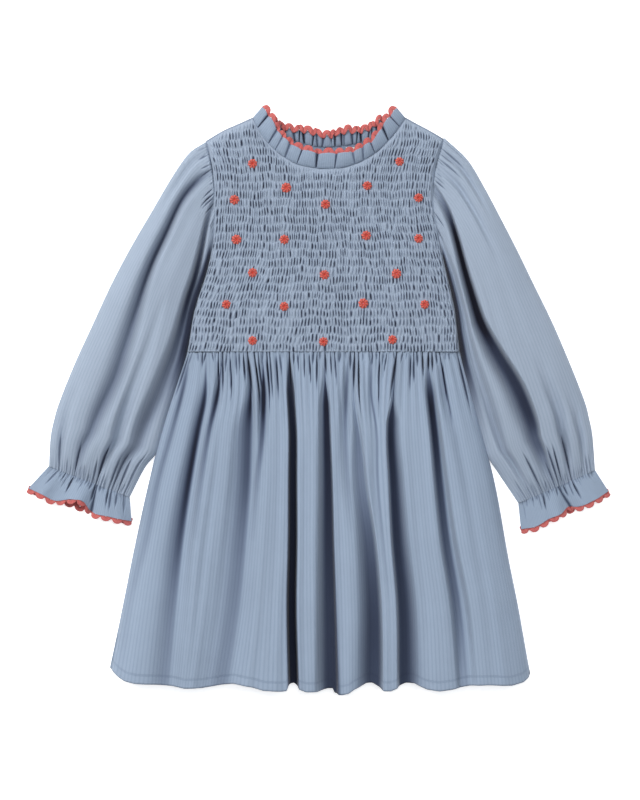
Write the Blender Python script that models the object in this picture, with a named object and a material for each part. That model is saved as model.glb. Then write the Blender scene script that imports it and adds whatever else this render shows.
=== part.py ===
"""A child's smocked dress with long sleeves, laid out flat on its back.

All sizes below are in millimetres. X runs across the dress, Y runs from the hem to the
neck, and Z runs up from the surface that the dress lies on. The back pieces lie flat on
that surface, and the front pieces rise over them in the folds that the cloth has.
"""
import math

import bmesh
import bpy
import numpy as np

for old in list(bpy.data.objects):
    bpy.data.objects.remove(old, do_unlink=True)

MM = 0.001

# Cloth and the gaps between pieces
WALL = 1.2
SEAM = 0.4
LIFT = 0.35
Z_SEAM = 2.9          # top of the front cloth where it meets the back cloth
Z_FRONT = 12.0        # top of the front bodice, away from its edges

# Bodice, whose waist seam is at WAIST_Y
WAIST_Y = 48.0
SHOULDER_TIP_Y = 258.0
SMOCK_BAND = 8.45     # distance from one elastic row to the next
SMOCK_COLUMNS = 48    # two for each pucker
SMOCK_HEIGHT = 1.7
PLAIN_STRIP = 9.0     # cloth without smocking along the neck seam
BODICE_ROUND = 26.0   # width over which the bodice rounds down to its side seams
ARMHOLE_LIFT = 5.6    # how much higher the bodice's side is where a sleeve is set in
SHOULDER_Y = 284.0    # line of the shoulder seams by the neck, and their slope outwards
SHOULDER_SLOPE = 0.47
SHOULDER_ROUND = 24.0 # distance over which the cloth comes down to a shoulder seam

# Neck
NECK_MIDDLE_X = 9.0
NECK_HALF = 74.0
BACK_SPLIT_X = 13.0
BACK_SPLIT_GAP = 1.0

# Skirt
GATHERS = 42
GATHER_HEIGHT = 1.7
FOLD_FLOOR = 8.5      # top of the cloth in the deepest valley
HEM_Y = -280.0        # level of the hem's highest places
SIDE_ROUND = 44.0     # width over which the skirt rounds down to its side seams
BACK_HEM_INSET = 1.5  # how far the back's hem stays inside the front's at its corners

# Half outline of the body: y, x of the left edge, x of the right edge
BODICE_SIDES = (
    (258.0, -114.0, 123.0),
    (230.0, -107.0, 114.5),
    (197.0, -106.0, 113.5),
    (157.0, -108.0, 120.5),
    (132.0, -113.0, 126.0),
    (90.0, -126.0, 135.5),
    (48.0, -133.0, 140.0),
)
SKIRT_SIDES = (
    (48.0, -133.0, 140.0),
    (-30.0, -158.0, 161.0),
    (-76.0, -169.5, 173.0),
    (-160.0, -187.8, 188.7),
    (-208.0, -196.8, 198.2),
    (-290.0, -211.5, 211.5),
)
# Bottom edge of the skirt front, which hangs lower under each raised fold: x, y
HEM_LINE = (
    (-212.0, -265.5), (-206.0, -270.5), (-200.0, -275.0), (-193.0, -278.5),
    (-182.0, -280.5), (-164.0, -281.5), (-146.0, -283.0), (-134.0, -285.5),
    (-117.0, -285.0), (-98.0, -282.0), (-86.0, -281.0), (-68.0, -283.5), (-56.0, -287.0),
    (-38.0, -288.0), (-33.0, -287.5), (-31.0, -282.5), (-26.0, -281.5), (-20.0, -286.0),
    (-14.0, -288.5), (-2.0, -288.5), (8.0, -286.5), (12.5, -286.5), (14.5, -291.0),
    (22.0, -291.5), (28.0, -290.0), (34.0, -286.0), (46.0, -281.0), (52.0, -281.0),
    (63.0, -287.5), (70.0, -287.5), (76.0, -285.0), (85.0, -281.0), (94.0, -281.0),
    (106.0, -286.0), (118.0, -287.5), (130.0, -286.0), (148.0, -282.5), (166.0, -281.5),
    (190.0, -282.5), (202.0, -280.0), (208.0, -276.0), (212.0, -270.5),
)

# Top edge of the front bodice from shoulder to shoulder: x, y
FRONT_TOP = (
    (-114.0, 258.5), (-95.0, 270.0), (-67.0, 281.5), (-61.5, 271.0), (-53.0, 258.0),
    (-40.0, 245.5), (-23.0, 235.5), (0.0, 231.0), (23.0, 232.0), (40.0, 237.5),
    (58.0, 248.5), (71.0, 262.0), (80.0, 274.0), (85.0, 281.5), (107.0, 270.0),
    (123.0, 261.0),
)
# Top edge of the back bodice: x, y
BACK_TOP = (
    (-114.0, 258.5), (-95.0, 270.0), (-68.0, 281.5), (-55.0, 273.0), (-37.0, 263.0),
    (-11.0, 255.5), (9.0, 253.5), (30.0, 256.0), (52.0, 261.5), (70.0, 272.0),
    (86.0, 281.5), (107.0, 270.0), (123.0, 261.0),
)

# Free edge of the front neck frill and of the back one: x, y
FRONT_FRILL_EDGE = (
    (-57.0, 291.5), (-49.0, 279.0), (-41.0, 266.0), (-31.0, 255.5), (-19.0, 249.0),
    (-5.0, 245.0), (12.0, 245.0), (28.0, 245.0), (44.0, 252.0), (52.0, 257.0),
    (59.0, 267.0), (68.0, 279.5), (76.0, 290.5),
)
FRONT_FRILL_BASE = (
    (-65.5, 282.5), (-61.0, 272.5), (-52.5, 259.5), (-39.5, 247.0), (-22.5, 237.0),
    (0.0, 232.5), (23.0, 233.5), (39.5, 239.0), (57.0, 250.0), (70.0, 263.5),
    (79.0, 275.0), (83.5, 282.5),
)
BACK_FRILL_BASE = (
    (-47.0, 270.0), (-37.0, 264.2), (-24.0, 259.8), (-11.0, 256.7), (9.0, 254.7),
    (30.0, 257.2), (52.0, 262.9), (64.0, 269.5),
)
BACK_FRILL_EDGE = (
    (-47.0, 281.0), (-34.0, 271.0), (-20.0, 270.0), (-5.0, 267.0), (9.0, 263.5),
    (25.0, 268.5), (45.0, 270.0), (63.0, 281.5),
)
FRONT_PLEATS = 14
BACK_PLEATS = 6       # in each half

# Rickrack braid
BRAID_PITCH = 11.5
BRAID_THICK = 1.0
BRAID_REACH = (1.2, 4.6)
BRAID_ROOT = 0.77     # where the braid starts inside a cuff, from its last row but one

# Skirt folds, named from the left. Each valley has its x at the stations of FOLD_Y, how
# deep it is there, from 0 to 1, and its half width to either side at the waist and hem.
FOLD_Y = (48.0, 5.0, -30.0, -80.0, -140.0, -200.0, -290.0)
FOLDS = (
    dict(name="left_edge", column=None,
         x=(-129, -138, -147, -161, -173, -189, -200),
         depth=(0.3, 0.6, 0.45, 0.35, 0.2, 0.1, 0.0), left=(4, 8), right=(4, 9)),
    dict(name="left_long", column=6,
         x=(-113, -115, -122, -131, -142, -153, -172),
         depth=(0.2, 0.75, 0.8, 0.8, 0.65, 0.4, 0.25), left=(3.5, 17), right=(4, 20)),
    dict(name="left_short", column=None,
         x=(-97, -102, -110, -118, -124, -130, -140),
         depth=(0.2, 0.8, 0.4, 0.1, 0.0, 0.0, 0.0), left=(4, 8), right=(4, 8)),
    dict(name="left_broad", column=19,
         x=(-72, -69, -71, -73, -78, -84, -98),
         depth=(0.2, 0.9, 0.8, 0.75, 0.6, 0.5, 0.4), left=(4, 28), right=(4, 17)),
    dict(name="middle_short", column=None,
         x=(-57, -56, -57, -62, -66, -70, -74),
         depth=(0.2, 0.9, 0.5, 0.1, 0.0, 0.0, 0.0), left=(4, 8), right=(4, 8)),
    dict(name="deepest", column=31,
         x=(-31, -30, -28, -28, -28, -29, -27),
         depth=(0.2, 0.95, 1.0, 1.0, 1.0, 1.0, 0.95), left=(3.5, 4.5), right=(3.5, 4.5)),
    dict(name="middle", column=42,
         x=(4, 5, 6, 8, 5, 6, 9),
         depth=(0.2, 0.95, 0.95, 0.9, 0.85, 0.8, 0.8), left=(4, 13), right=(3.5, 5)),
    dict(name="right_short", column=None,
         x=(28, 26, 25, 27, 32, 35, 38),
         depth=(0.2, 0.75, 0.5, 0.25, 0.0, 0.0, 0.0), left=(4, 8), right=(4, 8)),
    dict(name="right_inner", column=51,
         x=(32, 33, 37, 40, 47, 50, 50),
         depth=(0.0, 0.35, 0.5, 0.5, 0.7, 0.8, 0.8), left=(4, 11), right=(4, 9)),
    dict(name="right_faint", column=None,
         x=(52, 51, 56, 57, 62, 68, 70),
         depth=(0.2, 0.6, 0.35, 0.25, 0.1, 0.0, 0.0), left=(4, 8), right=(4, 8)),
    dict(name="right_deep", column=65,
         x=(77, 73, 71, 75, 81, 89, 91),
         depth=(0.2, 0.7, 0.95, 0.9, 0.85, 0.8, 0.75), left=(4, 7), right=(4, 12)),
    dict(name="right_long", column=74,
         x=(106, 110, 114, 119, 126, 136, 144),
         depth=(0.2, 0.95, 0.95, 0.85, 0.75, 0.6, 0.25), left=(4, 7), right=(4, 11)),
    dict(name="right_outer", column=None,
         x=(120, 124, 133, 141, 150, 160, 170),
         depth=(0.2, 0.6, 0.3, 0.1, 0.0, 0.0, 0.0), left=(4, 8), right=(4, 8)),
)
# Height of the folds' crests at the stations of FOLD_Y
CREST = (11.5, 15.5, 19.0, 22.0, 25.0, 28.0, 30.0)
# Rows of the skirt, from the waist seam (0) to the hem (1)
SKIRT_ROWS = (0.0, 0.035, 0.075, 0.13, 0.2, 0.29, 0.4, 0.52, 0.66, 0.82, 1.0)

# Sleeves, from the armhole to the elastic at the wrist: the outer and inner end of each
# section, its height, and how far its middle bows towards the hand. An inner end with no
# x lies beside the body.
SLEEVE_LEFT = dict(
    side=1,
    sections=(
        dict(outer=(-115.2, 257.0), inner=(None, 159.0), height=11, bow=-5.0),
        dict(outer=(-131.0, 246.0), inner=(None, 146.0), height=15, bow=-3.0),
        dict(outer=(-148.0, 222.0), inner=(None, 130.0), height=19, bow=-1.0),
        dict(outer=(-168.0, 188.0), inner=(None, 112.0), height=22, bow=0.0),
        dict(outer=(-189.0, 152.0), inner=(None, 90.0), height=24, bow=1.0),
        dict(outer=(-208.0, 116.0), inner=(None, 66.0), height=25, bow=2.0),
        dict(outer=(-227.0, 75.0), inner=(None, 38.0), height=26, bow=2.0),
        dict(outer=(-244.0, 38.0), inner=(None, 7.0), height=26, bow=2.0),
        dict(outer=(-259.0, 1.0), inner=(None, -27.0), height=24, bow=1.0),
        dict(outer=(-265.0, -18.0), inner=(None, -51.0), height=21.5, bow=0.5),
        dict(outer=(-269.0, -38.0), inner=(-175.0, -68.0), height=18, bow=0.0),
        dict(outer=(-270.5, -66.0), inner=(-190.0, -97.0), height=9, bow=0.0),
    ),
    folds=(
        dict(place=(0.3, 0.28, 0.25, 0.28, 0.31, 0.35, 0.38, 0.41, 0.38, 0.36, 0.34, 0.33),
             depth=(0.3, 0.55, 0.6, 0.6, 0.6, 0.55, 0.5, 0.5, 0.5, 0.475, 0.45, 0.2), width=0.06),
        dict(place=(0.6, 0.7, 0.8, 0.86, 0.88, 0.88, 0.87, 0.86, 0.82, 0.805, 0.79, 0.8),
             depth=(0.3, 0.5, 0.6, 0.65, 0.65, 0.6, 0.55, 0.5, 0.5, 0.45, 0.4, 0.2), width=0.06),
        dict(place=(0.62, 0.62, 0.62, 0.62, 0.62, 0.62, 0.62, 0.62, 0.62, 0.615, 0.61, 0.6),
             depth=(0.0, 0.0, 0.0, 0.0, 0.0, 0.05, 0.1, 0.2, 0.35, 0.425, 0.5, 0.2), width=0.045),
        dict(place=(0.1, 0.1, 0.1, 0.1, 0.1, 0.1, 0.1, 0.1, 0.1, 0.11, 0.12, 0.12),
             depth=(0.2, 0.25, 0.2, 0.0, 0.0, 0.0, 0.0, 0.0, 0.15, 0.25, 0.35, 0.2), width=0.045),
    ),
)
SLEEVE_RIGHT = dict(
    side=2,
    sections=(
        dict(outer=(126.0, 260.0), inner=(None, 159.0), height=11, bow=-9.0),
        dict(outer=(147.0, 240.0), inner=(None, 144.0), height=15, bow=-5.0),
        dict(outer=(163.0, 214.0), inner=(None, 130.0), height=19, bow=-2.0),
        dict(outer=(179.0, 184.0), inner=(None, 114.0), height=22, bow=0.0),
        dict(outer=(196.0, 151.0), inner=(None, 92.0), height=24, bow=1.0),
        dict(outer=(213.0, 116.0), inner=(None, 66.0), height=25, bow=2.0),
        dict(outer=(232.0, 77.0), inner=(None, 34.0), height=26, bow=2.0),
        dict(outer=(250.0, 35.0), inner=(None, 2.0), height=26, bow=2.0),
        dict(outer=(264.0, -1.0), inner=(None, -31.0), height=24, bow=1.0),
        dict(outer=(268.5, -18.0), inner=(None, -54.0), height=21.5, bow=0.5),
        dict(outer=(272.0, -36.0), inner=(176.5, -71.0), height=18, bow=0.0),
        dict(outer=(274.5, -70.0), inner=(198.0, -103.0), height=9, bow=0.0),
    ),
    folds=(
        dict(place=(0.49, 0.58, 0.66, 0.72, 0.74, 0.72, 0.65, 0.57, 0.54, 0.54, 0.54, 0.55),
             depth=(0.3, 0.55, 0.65, 0.65, 0.65, 0.65, 0.6, 0.6, 0.6, 0.55, 0.5, 0.2), width=0.055),
        dict(place=(0.88, 0.9, 0.9, 0.9, 0.9, 0.89, 0.88, 0.87, 0.86, 0.845, 0.83, 0.82),
             depth=(0.1, 0.25, 0.35, 0.4, 0.4, 0.4, 0.4, 0.4, 0.45, 0.425, 0.4, 0.2), width=0.045),
        dict(place=(0.28, 0.28, 0.28, 0.28, 0.28, 0.28, 0.28, 0.28, 0.27, 0.28, 0.29, 0.3),
             depth=(0.2, 0.3, 0.2, 0.1, 0.0, 0.0, 0.0, 0.1, 0.3, 0.4, 0.5, 0.2), width=0.045),
        dict(place=(0.12, 0.12, 0.12, 0.12, 0.12, 0.12, 0.12, 0.12, 0.12, 0.12, 0.12, 0.13),
             depth=(0.3, 0.35, 0.2, 0.0, 0.0, 0.0, 0.0, 0.0, 0.15, 0.275, 0.4, 0.2), width=0.04),
    ),
)
BODY_GAP = 1.1        # between a sleeve and the body's side
EDGE_ROUND = 1.0      # how far a tube's underside stops short of its side
SLEEVE_TOP_POINTS = 21
SLEEVE_UNDER_POINTS = 6
CAP_GATHER = 1.1
WRIST_GATHER = 1.3

# Cuff frills: the ends of the free edge, and waves of that edge in plan (place, reach)
CUFF_LEFT = dict(
    outer=(-291.0, -88.0), inner=(-188.0, -121.0),
    waves=((0.0, 0.0), (0.14, 1.5), (0.27, 3.5), (0.42, -3.5), (0.53, -4.5), (0.60, 1.5),
           (0.80, 2.0), (1.0, 0.0)),
    lifts=((0.0, 4.0), (0.14, 9.0), (0.27, 8.0), (0.42, 15.0), (0.52, 15.5), (0.60, 8.0),
           (0.72, 10.5), (0.88, 10.0), (1.0, 4.0)),
)
CUFF_RIGHT = dict(
    outer=(288.0, -91.0), inner=(200.5, -129.0),
    waves=((0.0, 0.0), (0.20, 2.0), (0.38, 1.0), (0.45, -2.0), (0.55, 1.0), (0.70, 1.0),
           (0.84, 3.0), (1.0, 0.0)),
    lifts=((0.0, 4.0), (0.16, 12.0), (0.34, 11.5), (0.43, 6.5), (0.54, 12.5), (0.70, 12.5),
           (0.86, 9.5), (1.0, 4.0)),
)
CUFF_TOP_POINTS = 20
CUFF_UNDER_POINTS = 18
CUFF_ROWS = (0.0, 0.4, 1.0)

# Embroidered rosettes on the smocking: x, y
ROSETTE_RADIUS = 5.2
ROSETTE_HEIGHT = 1.1
ROSETTE_PETALS = 5
ROSETTES = (
    (-67, 235), (79, 237), (-33.5, 211), (47, 213), (-85, 199), (5.5, 194.5), (98, 201),
    (-83, 159.5), (-35.5, 159.5), (46, 163.5), (98, 160.5), (-67, 126.5), (4.5, 124.5),
    (76, 125.5), (-93, 95), (-35.5, 93), (43, 96), (104, 95), (-67, 59), (3.5, 58), (72, 60),
)

# Blank label inside the back neck
LABEL_LOW = (26.0, 238.5, WALL + LIFT)
LABEL_SIZE = (13.0, 14.0, 0.8)

BLUE = (0.30, 0.385, 0.50)
CORAL = (0.75, 0.13, 0.10)
WHITE = (0.80, 0.80, 0.78)


def smooth_line(place, knots, values):
    """Values of a smooth line through a table, held level past its ends."""
    knots = np.asarray(knots, dtype=float)
    values = np.asarray(values, dtype=float)
    if knots[0] > knots[-1]:
        knots = knots[::-1]
        values = values[::-1]
    slopes = np.gradient(values, knots)
    place = np.clip(np.asarray(place, dtype=float), knots[0], knots[-1])
    i = np.clip(np.searchsorted(knots, place) - 1, 0, len(knots) - 2)
    step = knots[i + 1] - knots[i]
    t = (place - knots[i]) / step
    rise = values[i + 1] - values[i]
    bend = (1 - t) * (slopes[i] * step - rise) - t * (slopes[i + 1] * step - rise)
    return values[i] + t * rise + t * (1 - t) * bend


def ease(value, low, high):
    """Smooth step from 0 at low to 1 at high."""
    t = np.clip((np.asarray(value, dtype=float) - low) / (high - low), 0.0, 1.0)
    return t * t * (3 - 2 * t)


def dome(distance, width):
    """Round shoulder: 0 at an edge, 1 from width inwards."""
    t = np.clip(np.asarray(distance, dtype=float) / width, 0.0, 1.0)
    return np.sqrt(1 - (1 - t) ** 2)


def column_of(table, index):
    return [row[index] for row in table]


def side_edges(table, y):
    """Left and right x of the body at height y."""
    left = smooth_line(y, column_of(table, 0), column_of(table, 1))
    right = smooth_line(y, column_of(table, 0), column_of(table, 2))
    return left, right


def top_edge(table, x):
    return np.interp(x, column_of(table, 0), column_of(table, 1))


def bodice_height(x, y):
    """Top of the smocked front without its puckers."""
    left, right = side_edges(BODICE_SIDES, y)
    armhole = ease(y, 150, 178) * (1 - ease(y, 236, 256))
    side = Z_SEAM + ARMHOLE_LIFT * armhole
    height = side + (Z_FRONT - side) * dome(np.minimum(x - left, right - x), BODICE_ROUND)
    from_middle = np.abs(np.asarray(x, dtype=float) - NECK_MIDDLE_X)
    shoulder_line = SHOULDER_Y - SHOULDER_SLOPE * np.maximum(from_middle - NECK_HALF, 0)
    beyond_neck = ease(from_middle, 58, 86)
    drop = beyond_neck * (1 - dome(shoulder_line - y, SHOULDER_ROUND))
    low = Z_SEAM + 3.0 * (1 - ease(from_middle, 74, 92))
    return height - (height - np.minimum(low, height)) * drop


def smocking(column, band_half, to_edge):
    """Height of a pucker above the plain wall, by grid column and half band."""
    calm = ease(to_edge, 2.0, PLAIN_STRIP)
    if band_half % 2 == 0:
        return SMOCK_HEIGHT * 0.25 * calm
    band = band_half // 2
    raised = (column + band) % 2 == 0
    return SMOCK_HEIGHT * (1.0 if raised else 0.0) * calm


def fold_valley(fold, x, y):
    """How far a fold pulls the skirt down at x, y, from 0 to 1."""
    middle = smooth_line(y, FOLD_Y, fold["x"])
    depth = smooth_line(y, FOLD_Y, fold["depth"])
    down = (WAIST_Y - y) / (WAIST_Y - HEM_Y)
    left = fold["left"][0] + (fold["left"][1] - fold["left"][0]) * down
    right = fold["right"][0] + (fold["right"][1] - fold["right"][0]) * down
    away = x - middle
    width = np.where(away < 0, left, right)
    return depth * np.exp(-1.1 * (away / width) ** 2)


def skirt_height(x, y, share):
    """Top of the skirt front; share is the place across the cloth, from 0 to 1."""
    crest = smooth_line(y, FOLD_Y, CREST)
    stays = np.ones_like(x)
    for fold in FOLDS:
        stays = stays * (1 - np.clip(fold_valley(fold, x, y), 0.0, 1.0))
    height = FOLD_FLOOR + (crest - FOLD_FLOOR) * stays
    fade = 1 - ease(WAIST_Y - y, 12, 95)
    height = height + GATHER_HEIGHT * fade * np.cos(2 * math.pi * GATHERS * share)
    left, right = side_edges(SKIRT_SIDES, y)
    return Z_SEAM + (height - Z_SEAM) * dome(np.minimum(x - left, right - x), SIDE_ROUND)


def hem_line(x):
    return np.interp(x, column_of(HEM_LINE, 0), column_of(HEM_LINE, 1))


def skirt_columns(y):
    """X of each column of the skirt front at height y, guided by the long folds."""
    left, right = side_edges(SKIRT_SIDES, y)
    down = (WAIST_Y - y) / (WAIST_Y - HEM_Y)
    places = [0]
    xs = [float(left)]
    for fold in FOLDS:
        if fold["column"] is None:
            continue
        middle = float(smooth_line(y, FOLD_Y, fold["x"]))
        left_half = fold["left"][0] + (fold["left"][1] - fold["left"][0]) * down
        right_half = fold["right"][0] + (fold["right"][1] - fold["right"][0]) * down
        places += [fold["column"] - 1, fold["column"], fold["column"] + 1]
        xs += [middle - min(left_half, 9.0), middle, middle + min(right_half, 9.0)]
    places.append(2 * GATHERS)
    xs.append(float(right))
    return np.interp(np.arange(2 * GATHERS + 1), places, xs)


class Solid:
    """Points and faces of one closed piece, in millimetres."""

    def __init__(self, name, colour, roughness=0.85):
        self.name = name
        self.colour = colour
        self.roughness = roughness
        self.points = []
        self.faces = []

    def add_points(self, points):
        first = len(self.points)
        self.points += [tuple(float(v) for v in point) for point in points]
        return list(range(first, len(self.points)))

    def bridge(self, line_a, line_b, closed=False):
        """Quads between two lines with as many points."""
        count = len(line_a)
        for i in range(count if closed else count - 1):
            j = (i + 1) % count
            self.faces.append((line_a[i], line_a[j], line_b[j], line_b[i]))

    def stitch(self, line_a, line_b, axis=1):
        """Triangles between two lines with different points, in step along an axis."""
        i = 0
        j = 0
        while i < len(line_a) - 1 or j < len(line_b) - 1:
            take_a = j == len(line_b) - 1
            if not take_a and i < len(line_a) - 1:
                next_a = self.points[line_a[i + 1]][axis]
                next_b = self.points[line_b[j + 1]][axis]
                take_a = next_a <= next_b
            if take_a:
                self.faces.append((line_a[i], line_b[j], line_a[i + 1]))
                i += 1
            else:
                self.faces.append((line_a[i], line_b[j], line_b[j + 1]))
                j += 1

    def fan(self, line, middle, closed=True):
        count = len(line)
        for i in range(count if closed else count - 1):
            self.faces.append((line[i], line[(i + 1) % count], middle))

    def wall(self, outer_rows, inner_rows, closed=False):
        """A wall between two grids of points; closed joins the ends of each row."""
        outer = [self.add_points(row) for row in outer_rows]
        inner = [self.add_points(row) for row in inner_rows]
        for grid in (outer, inner):
            for a, b in zip(grid, grid[1:]):
                self.bridge(a, b, closed)
        for end in (0, -1):
            self.bridge(outer[end], inner[end], closed)
        if not closed:
            for end in (0, -1):
                self.bridge([row[end] for row in outer], [row[end] for row in inner])

    def build(self):
        mesh = bpy.data.meshes.new(self.name)
        mesh.from_pydata([[v * MM for v in point] for point in self.points], [], self.faces)
        shape = bmesh.new()
        shape.from_mesh(mesh)
        bmesh.ops.recalc_face_normals(shape, faces=shape.faces)
        bmesh.ops.triangulate(shape, faces=[f for f in shape.faces if len(f.verts) > 3])
        shape.to_mesh(mesh)
        shape.free()
        mesh.shade_smooth()
        mesh.set_sharp_from_angle(angle=math.radians(50))
        material = bpy.data.materials.new(self.name)
        material.use_nodes = True
        shader = material.node_tree.nodes["Principled BSDF"]
        shader.inputs["Base Color"].default_value = (*self.colour, 1.0)
        shader.inputs["Roughness"].default_value = self.roughness
        shader.inputs["Metallic"].default_value = 0.0
        mesh.materials.append(material)
        piece = bpy.data.objects.new(self.name, mesh)
        bpy.context.scene.collection.objects.link(piece)
        return piece


def underside(heights, xs, lowest):
    """Inner heights of one row of a folded wall, kept WALL thick on slopes."""
    slope = np.gradient(heights, xs)
    return np.maximum(heights - WALL * np.sqrt(1 + slope ** 2), lowest)


def bodice_front():
    piece = Solid("bodice_front", BLUE)
    half_band = SMOCK_BAND / 2
    low = WAIST_Y + SEAM / 2
    outer = []
    inner = []
    for column in range(SMOCK_COLUMNS + 1):
        share = column / SMOCK_COLUMNS
        top = SHOULDER_TIP_Y
        for _ in range(12):
            left, right = side_edges(BODICE_SIDES, top)
            top = float(top_edge(FRONT_TOP, left + share * (right - left)))
        ys = [low]
        while ys[-1] + half_band < top - 1.6:
            ys.append(ys[-1] + half_band)
        ys.append(top)
        points = []
        plain = []
        for k, y in enumerate(ys):
            left, right = side_edges(BODICE_SIDES, y)
            x = left + share * (right - left)
            side_room = 8 * min(x - left, right - x)
            relief = smocking(column, k, min(top - y, side_room))
            base = float(bodice_height(x, y))
            points.append((x, y, base + relief))
            last = k == len(ys) - 1
            if k % 8 == 0 or last or (top - y < 26 and k % 2 == 0):
                plain.append((x, y, base - WALL))
        outer.append(piece.add_points(points))
        inner.append(piece.add_points(plain))
    for lines in (outer, inner):
        for a, b in zip(lines, lines[1:]):
            piece.stitch(a, b)
    for end in (0, -1):
        piece.bridge([line[end] for line in outer], [line[end] for line in inner])
        piece.stitch(outer[end], inner[end])
    return piece.build()


def bodice_back(name, from_x, to_x):
    """One flat half of the back bodice; from_x or to_x is None at a side seam."""
    piece = Solid(name, BLUE)
    rows = 7
    columns = 12
    low = WAIST_Y + SEAM / 2
    ends = []
    for height in (WALL, 0.0):
        grid = []
        for row in range(rows + 1):
            line = []
            for column in range(columns + 1):
                top = SHOULDER_TIP_Y
                for _ in range(12):
                    y = low + (top - low) * row / rows
                    left, right = side_edges(BODICE_SIDES, y)
                    start = left if from_x is None else from_x
                    stop = right if to_x is None else to_x
                    x = start + (stop - start) * column / columns
                    top = float(top_edge(BACK_TOP, x))
                line.append((x, y, height))
            grid.append(line)
        ends.append(grid)
    piece.wall(ends[0], ends[1])
    return piece.build()


def skirt_front():
    piece = Solid("skirt_front", BLUE)
    count = 2 * GATHERS + 1
    share = np.arange(count) / (count - 1)
    low = WAIST_Y - SEAM / 2
    outer = []
    inner = []
    for down in SKIRT_ROWS:
        x = skirt_columns(low + (HEM_Y - low) * down)
        y = low + (hem_line(x) - low) * down
        height = skirt_height(x, y, share)
        under = underside(height, x, WALL + LIFT)
        outer.append(np.stack([x, y, height], axis=1))
        inner.append(np.stack([x, y, under], axis=1))
    piece.wall(outer, inner)
    return piece.build()


def skirt_back():
    piece = Solid("skirt_back", BLUE)
    columns = 18
    rows = (0.0, 0.25, 0.5, 0.75, 1.0)
    low = WAIST_Y - SEAM / 2
    share = np.arange(columns + 1) / columns
    grids = []
    for height in (WALL, 0.0):
        grid = []
        for down in rows:
            left, right = side_edges(SKIRT_SIDES, low + (HEM_Y - low) * down)
            x = left + share * (right - left)
            hem = np.maximum(hem_line(x) + BACK_HEM_INSET, HEM_Y)
            y = low + (hem - low) * down
            grid.append(np.stack([x, y, np.full_like(x, height)], axis=1))
        grids.append(grid)
    piece.wall(grids[0], grids[1])
    return piece.build()


def across_places(count):
    """Places across a tube from 0 to 1, closer together near its edges."""
    even = np.arange(count) / (count - 1)
    return 0.55 * even + 0.45 * (0.5 - 0.5 * np.cos(math.pi * even))


def hand_direction(across):
    """Unit direction square to a section, towards the hand."""
    along = np.array([across[1], -across[0]]) / np.hypot(*across)
    return -along if along[1] > 0 else along


def tube_section(outer_end, inner_end, bow, heights, edge_height, under_points, depths):
    """Loops round a tube that lies flat, one for each depth below its outer surface."""
    outer_end = np.array(outer_end)
    inner_end = np.array(inner_end)
    across = inner_end - outer_end
    width = float(np.hypot(*across))
    along = hand_direction(across)
    count = len(heights)
    top = across_places(count)
    under = np.linspace(1.0, 0.0, under_points)
    places = np.concatenate([top, under])
    slope = np.gradient(heights, top * width)
    loops = []
    for depth in depths:
        top_z = heights - depth * np.sqrt(1 + slope ** 2)
        top_z = np.maximum(top_z, depth + 0.5 * (depth > 0))
        top_z[0] = edge_height - 0.4 * depth
        top_z[-1] = edge_height - 0.4 * depth
        zs = np.concatenate([top_z, np.full(under_points, depth)])
        margin = np.full(len(places), depth / width)
        margin[count:] += EDGE_ROUND / width
        shares = np.clip(places, margin, 1 - margin)
        plan = outer_end + shares[:, None] * across
        plan = plan + (4 * shares * (1 - shares) * bow)[:, None] * along
        loops.append(np.column_stack([plan, zs]))
    return loops


def sleeve_heights(sleeve, station):
    """Heights of the top of a sleeve at one of its sections."""
    section = sleeve["sections"][station]
    count = len(sleeve["sections"])
    place = across_places(SLEEVE_TOP_POINTS)
    tall = section["height"]
    edge = min(4.0, 0.4 * tall)
    round_top = (1 - np.abs(2 * place - 1) ** 2.6) ** 0.62
    stays = np.ones_like(place)
    for fold in sleeve["folds"]:
        away = (place - fold["place"][station]) / fold["width"]
        stays = stays * (1 - fold["depth"][station] * np.exp(-away ** 2))
    heights = edge + (tall - edge) * round_top * stays
    wave = np.where(np.arange(SLEEVE_TOP_POINTS) % 2 == 0, -1.0, 1.0)
    wave[0] = 0.0
    wave[-1] = 0.0
    near_cap = max(0.0, 1 - station / 2.5)
    near_wrist = max(0.0, 1 - (count - 1 - station) / 2.0)
    return heights + wave * (CAP_GATHER * near_cap + WRIST_GATHER * near_wrist), edge


def section_ends(sleeve, section):
    """Outer and inner end of a sleeve section, with the body's edge where it lies there."""
    x, y = section["inner"]
    if x is None:
        table = BODICE_SIDES if y > WAIST_Y else SKIRT_SIDES
        edge = float(side_edges(table, y)[sleeve["side"] - 1])
        x = edge - BODY_GAP if sleeve["side"] == 1 else edge + BODY_GAP
    return section["outer"], (x, y)


def sleeve_piece(name, sleeve):
    piece = Solid(name, BLUE)
    outer = []
    inner = []
    for station, section in enumerate(sleeve["sections"]):
        heights, edge = sleeve_heights(sleeve, station)
        outer_end, inner_end = section_ends(sleeve, section)
        loops = tube_section(outer_end, inner_end, section["bow"], heights, edge,
                             SLEEVE_UNDER_POINTS, (0.0, WALL))
        outer.append(loops[0])
        inner.append(loops[1])
    piece.wall(outer, inner, closed=True)
    return piece.build()


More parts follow.
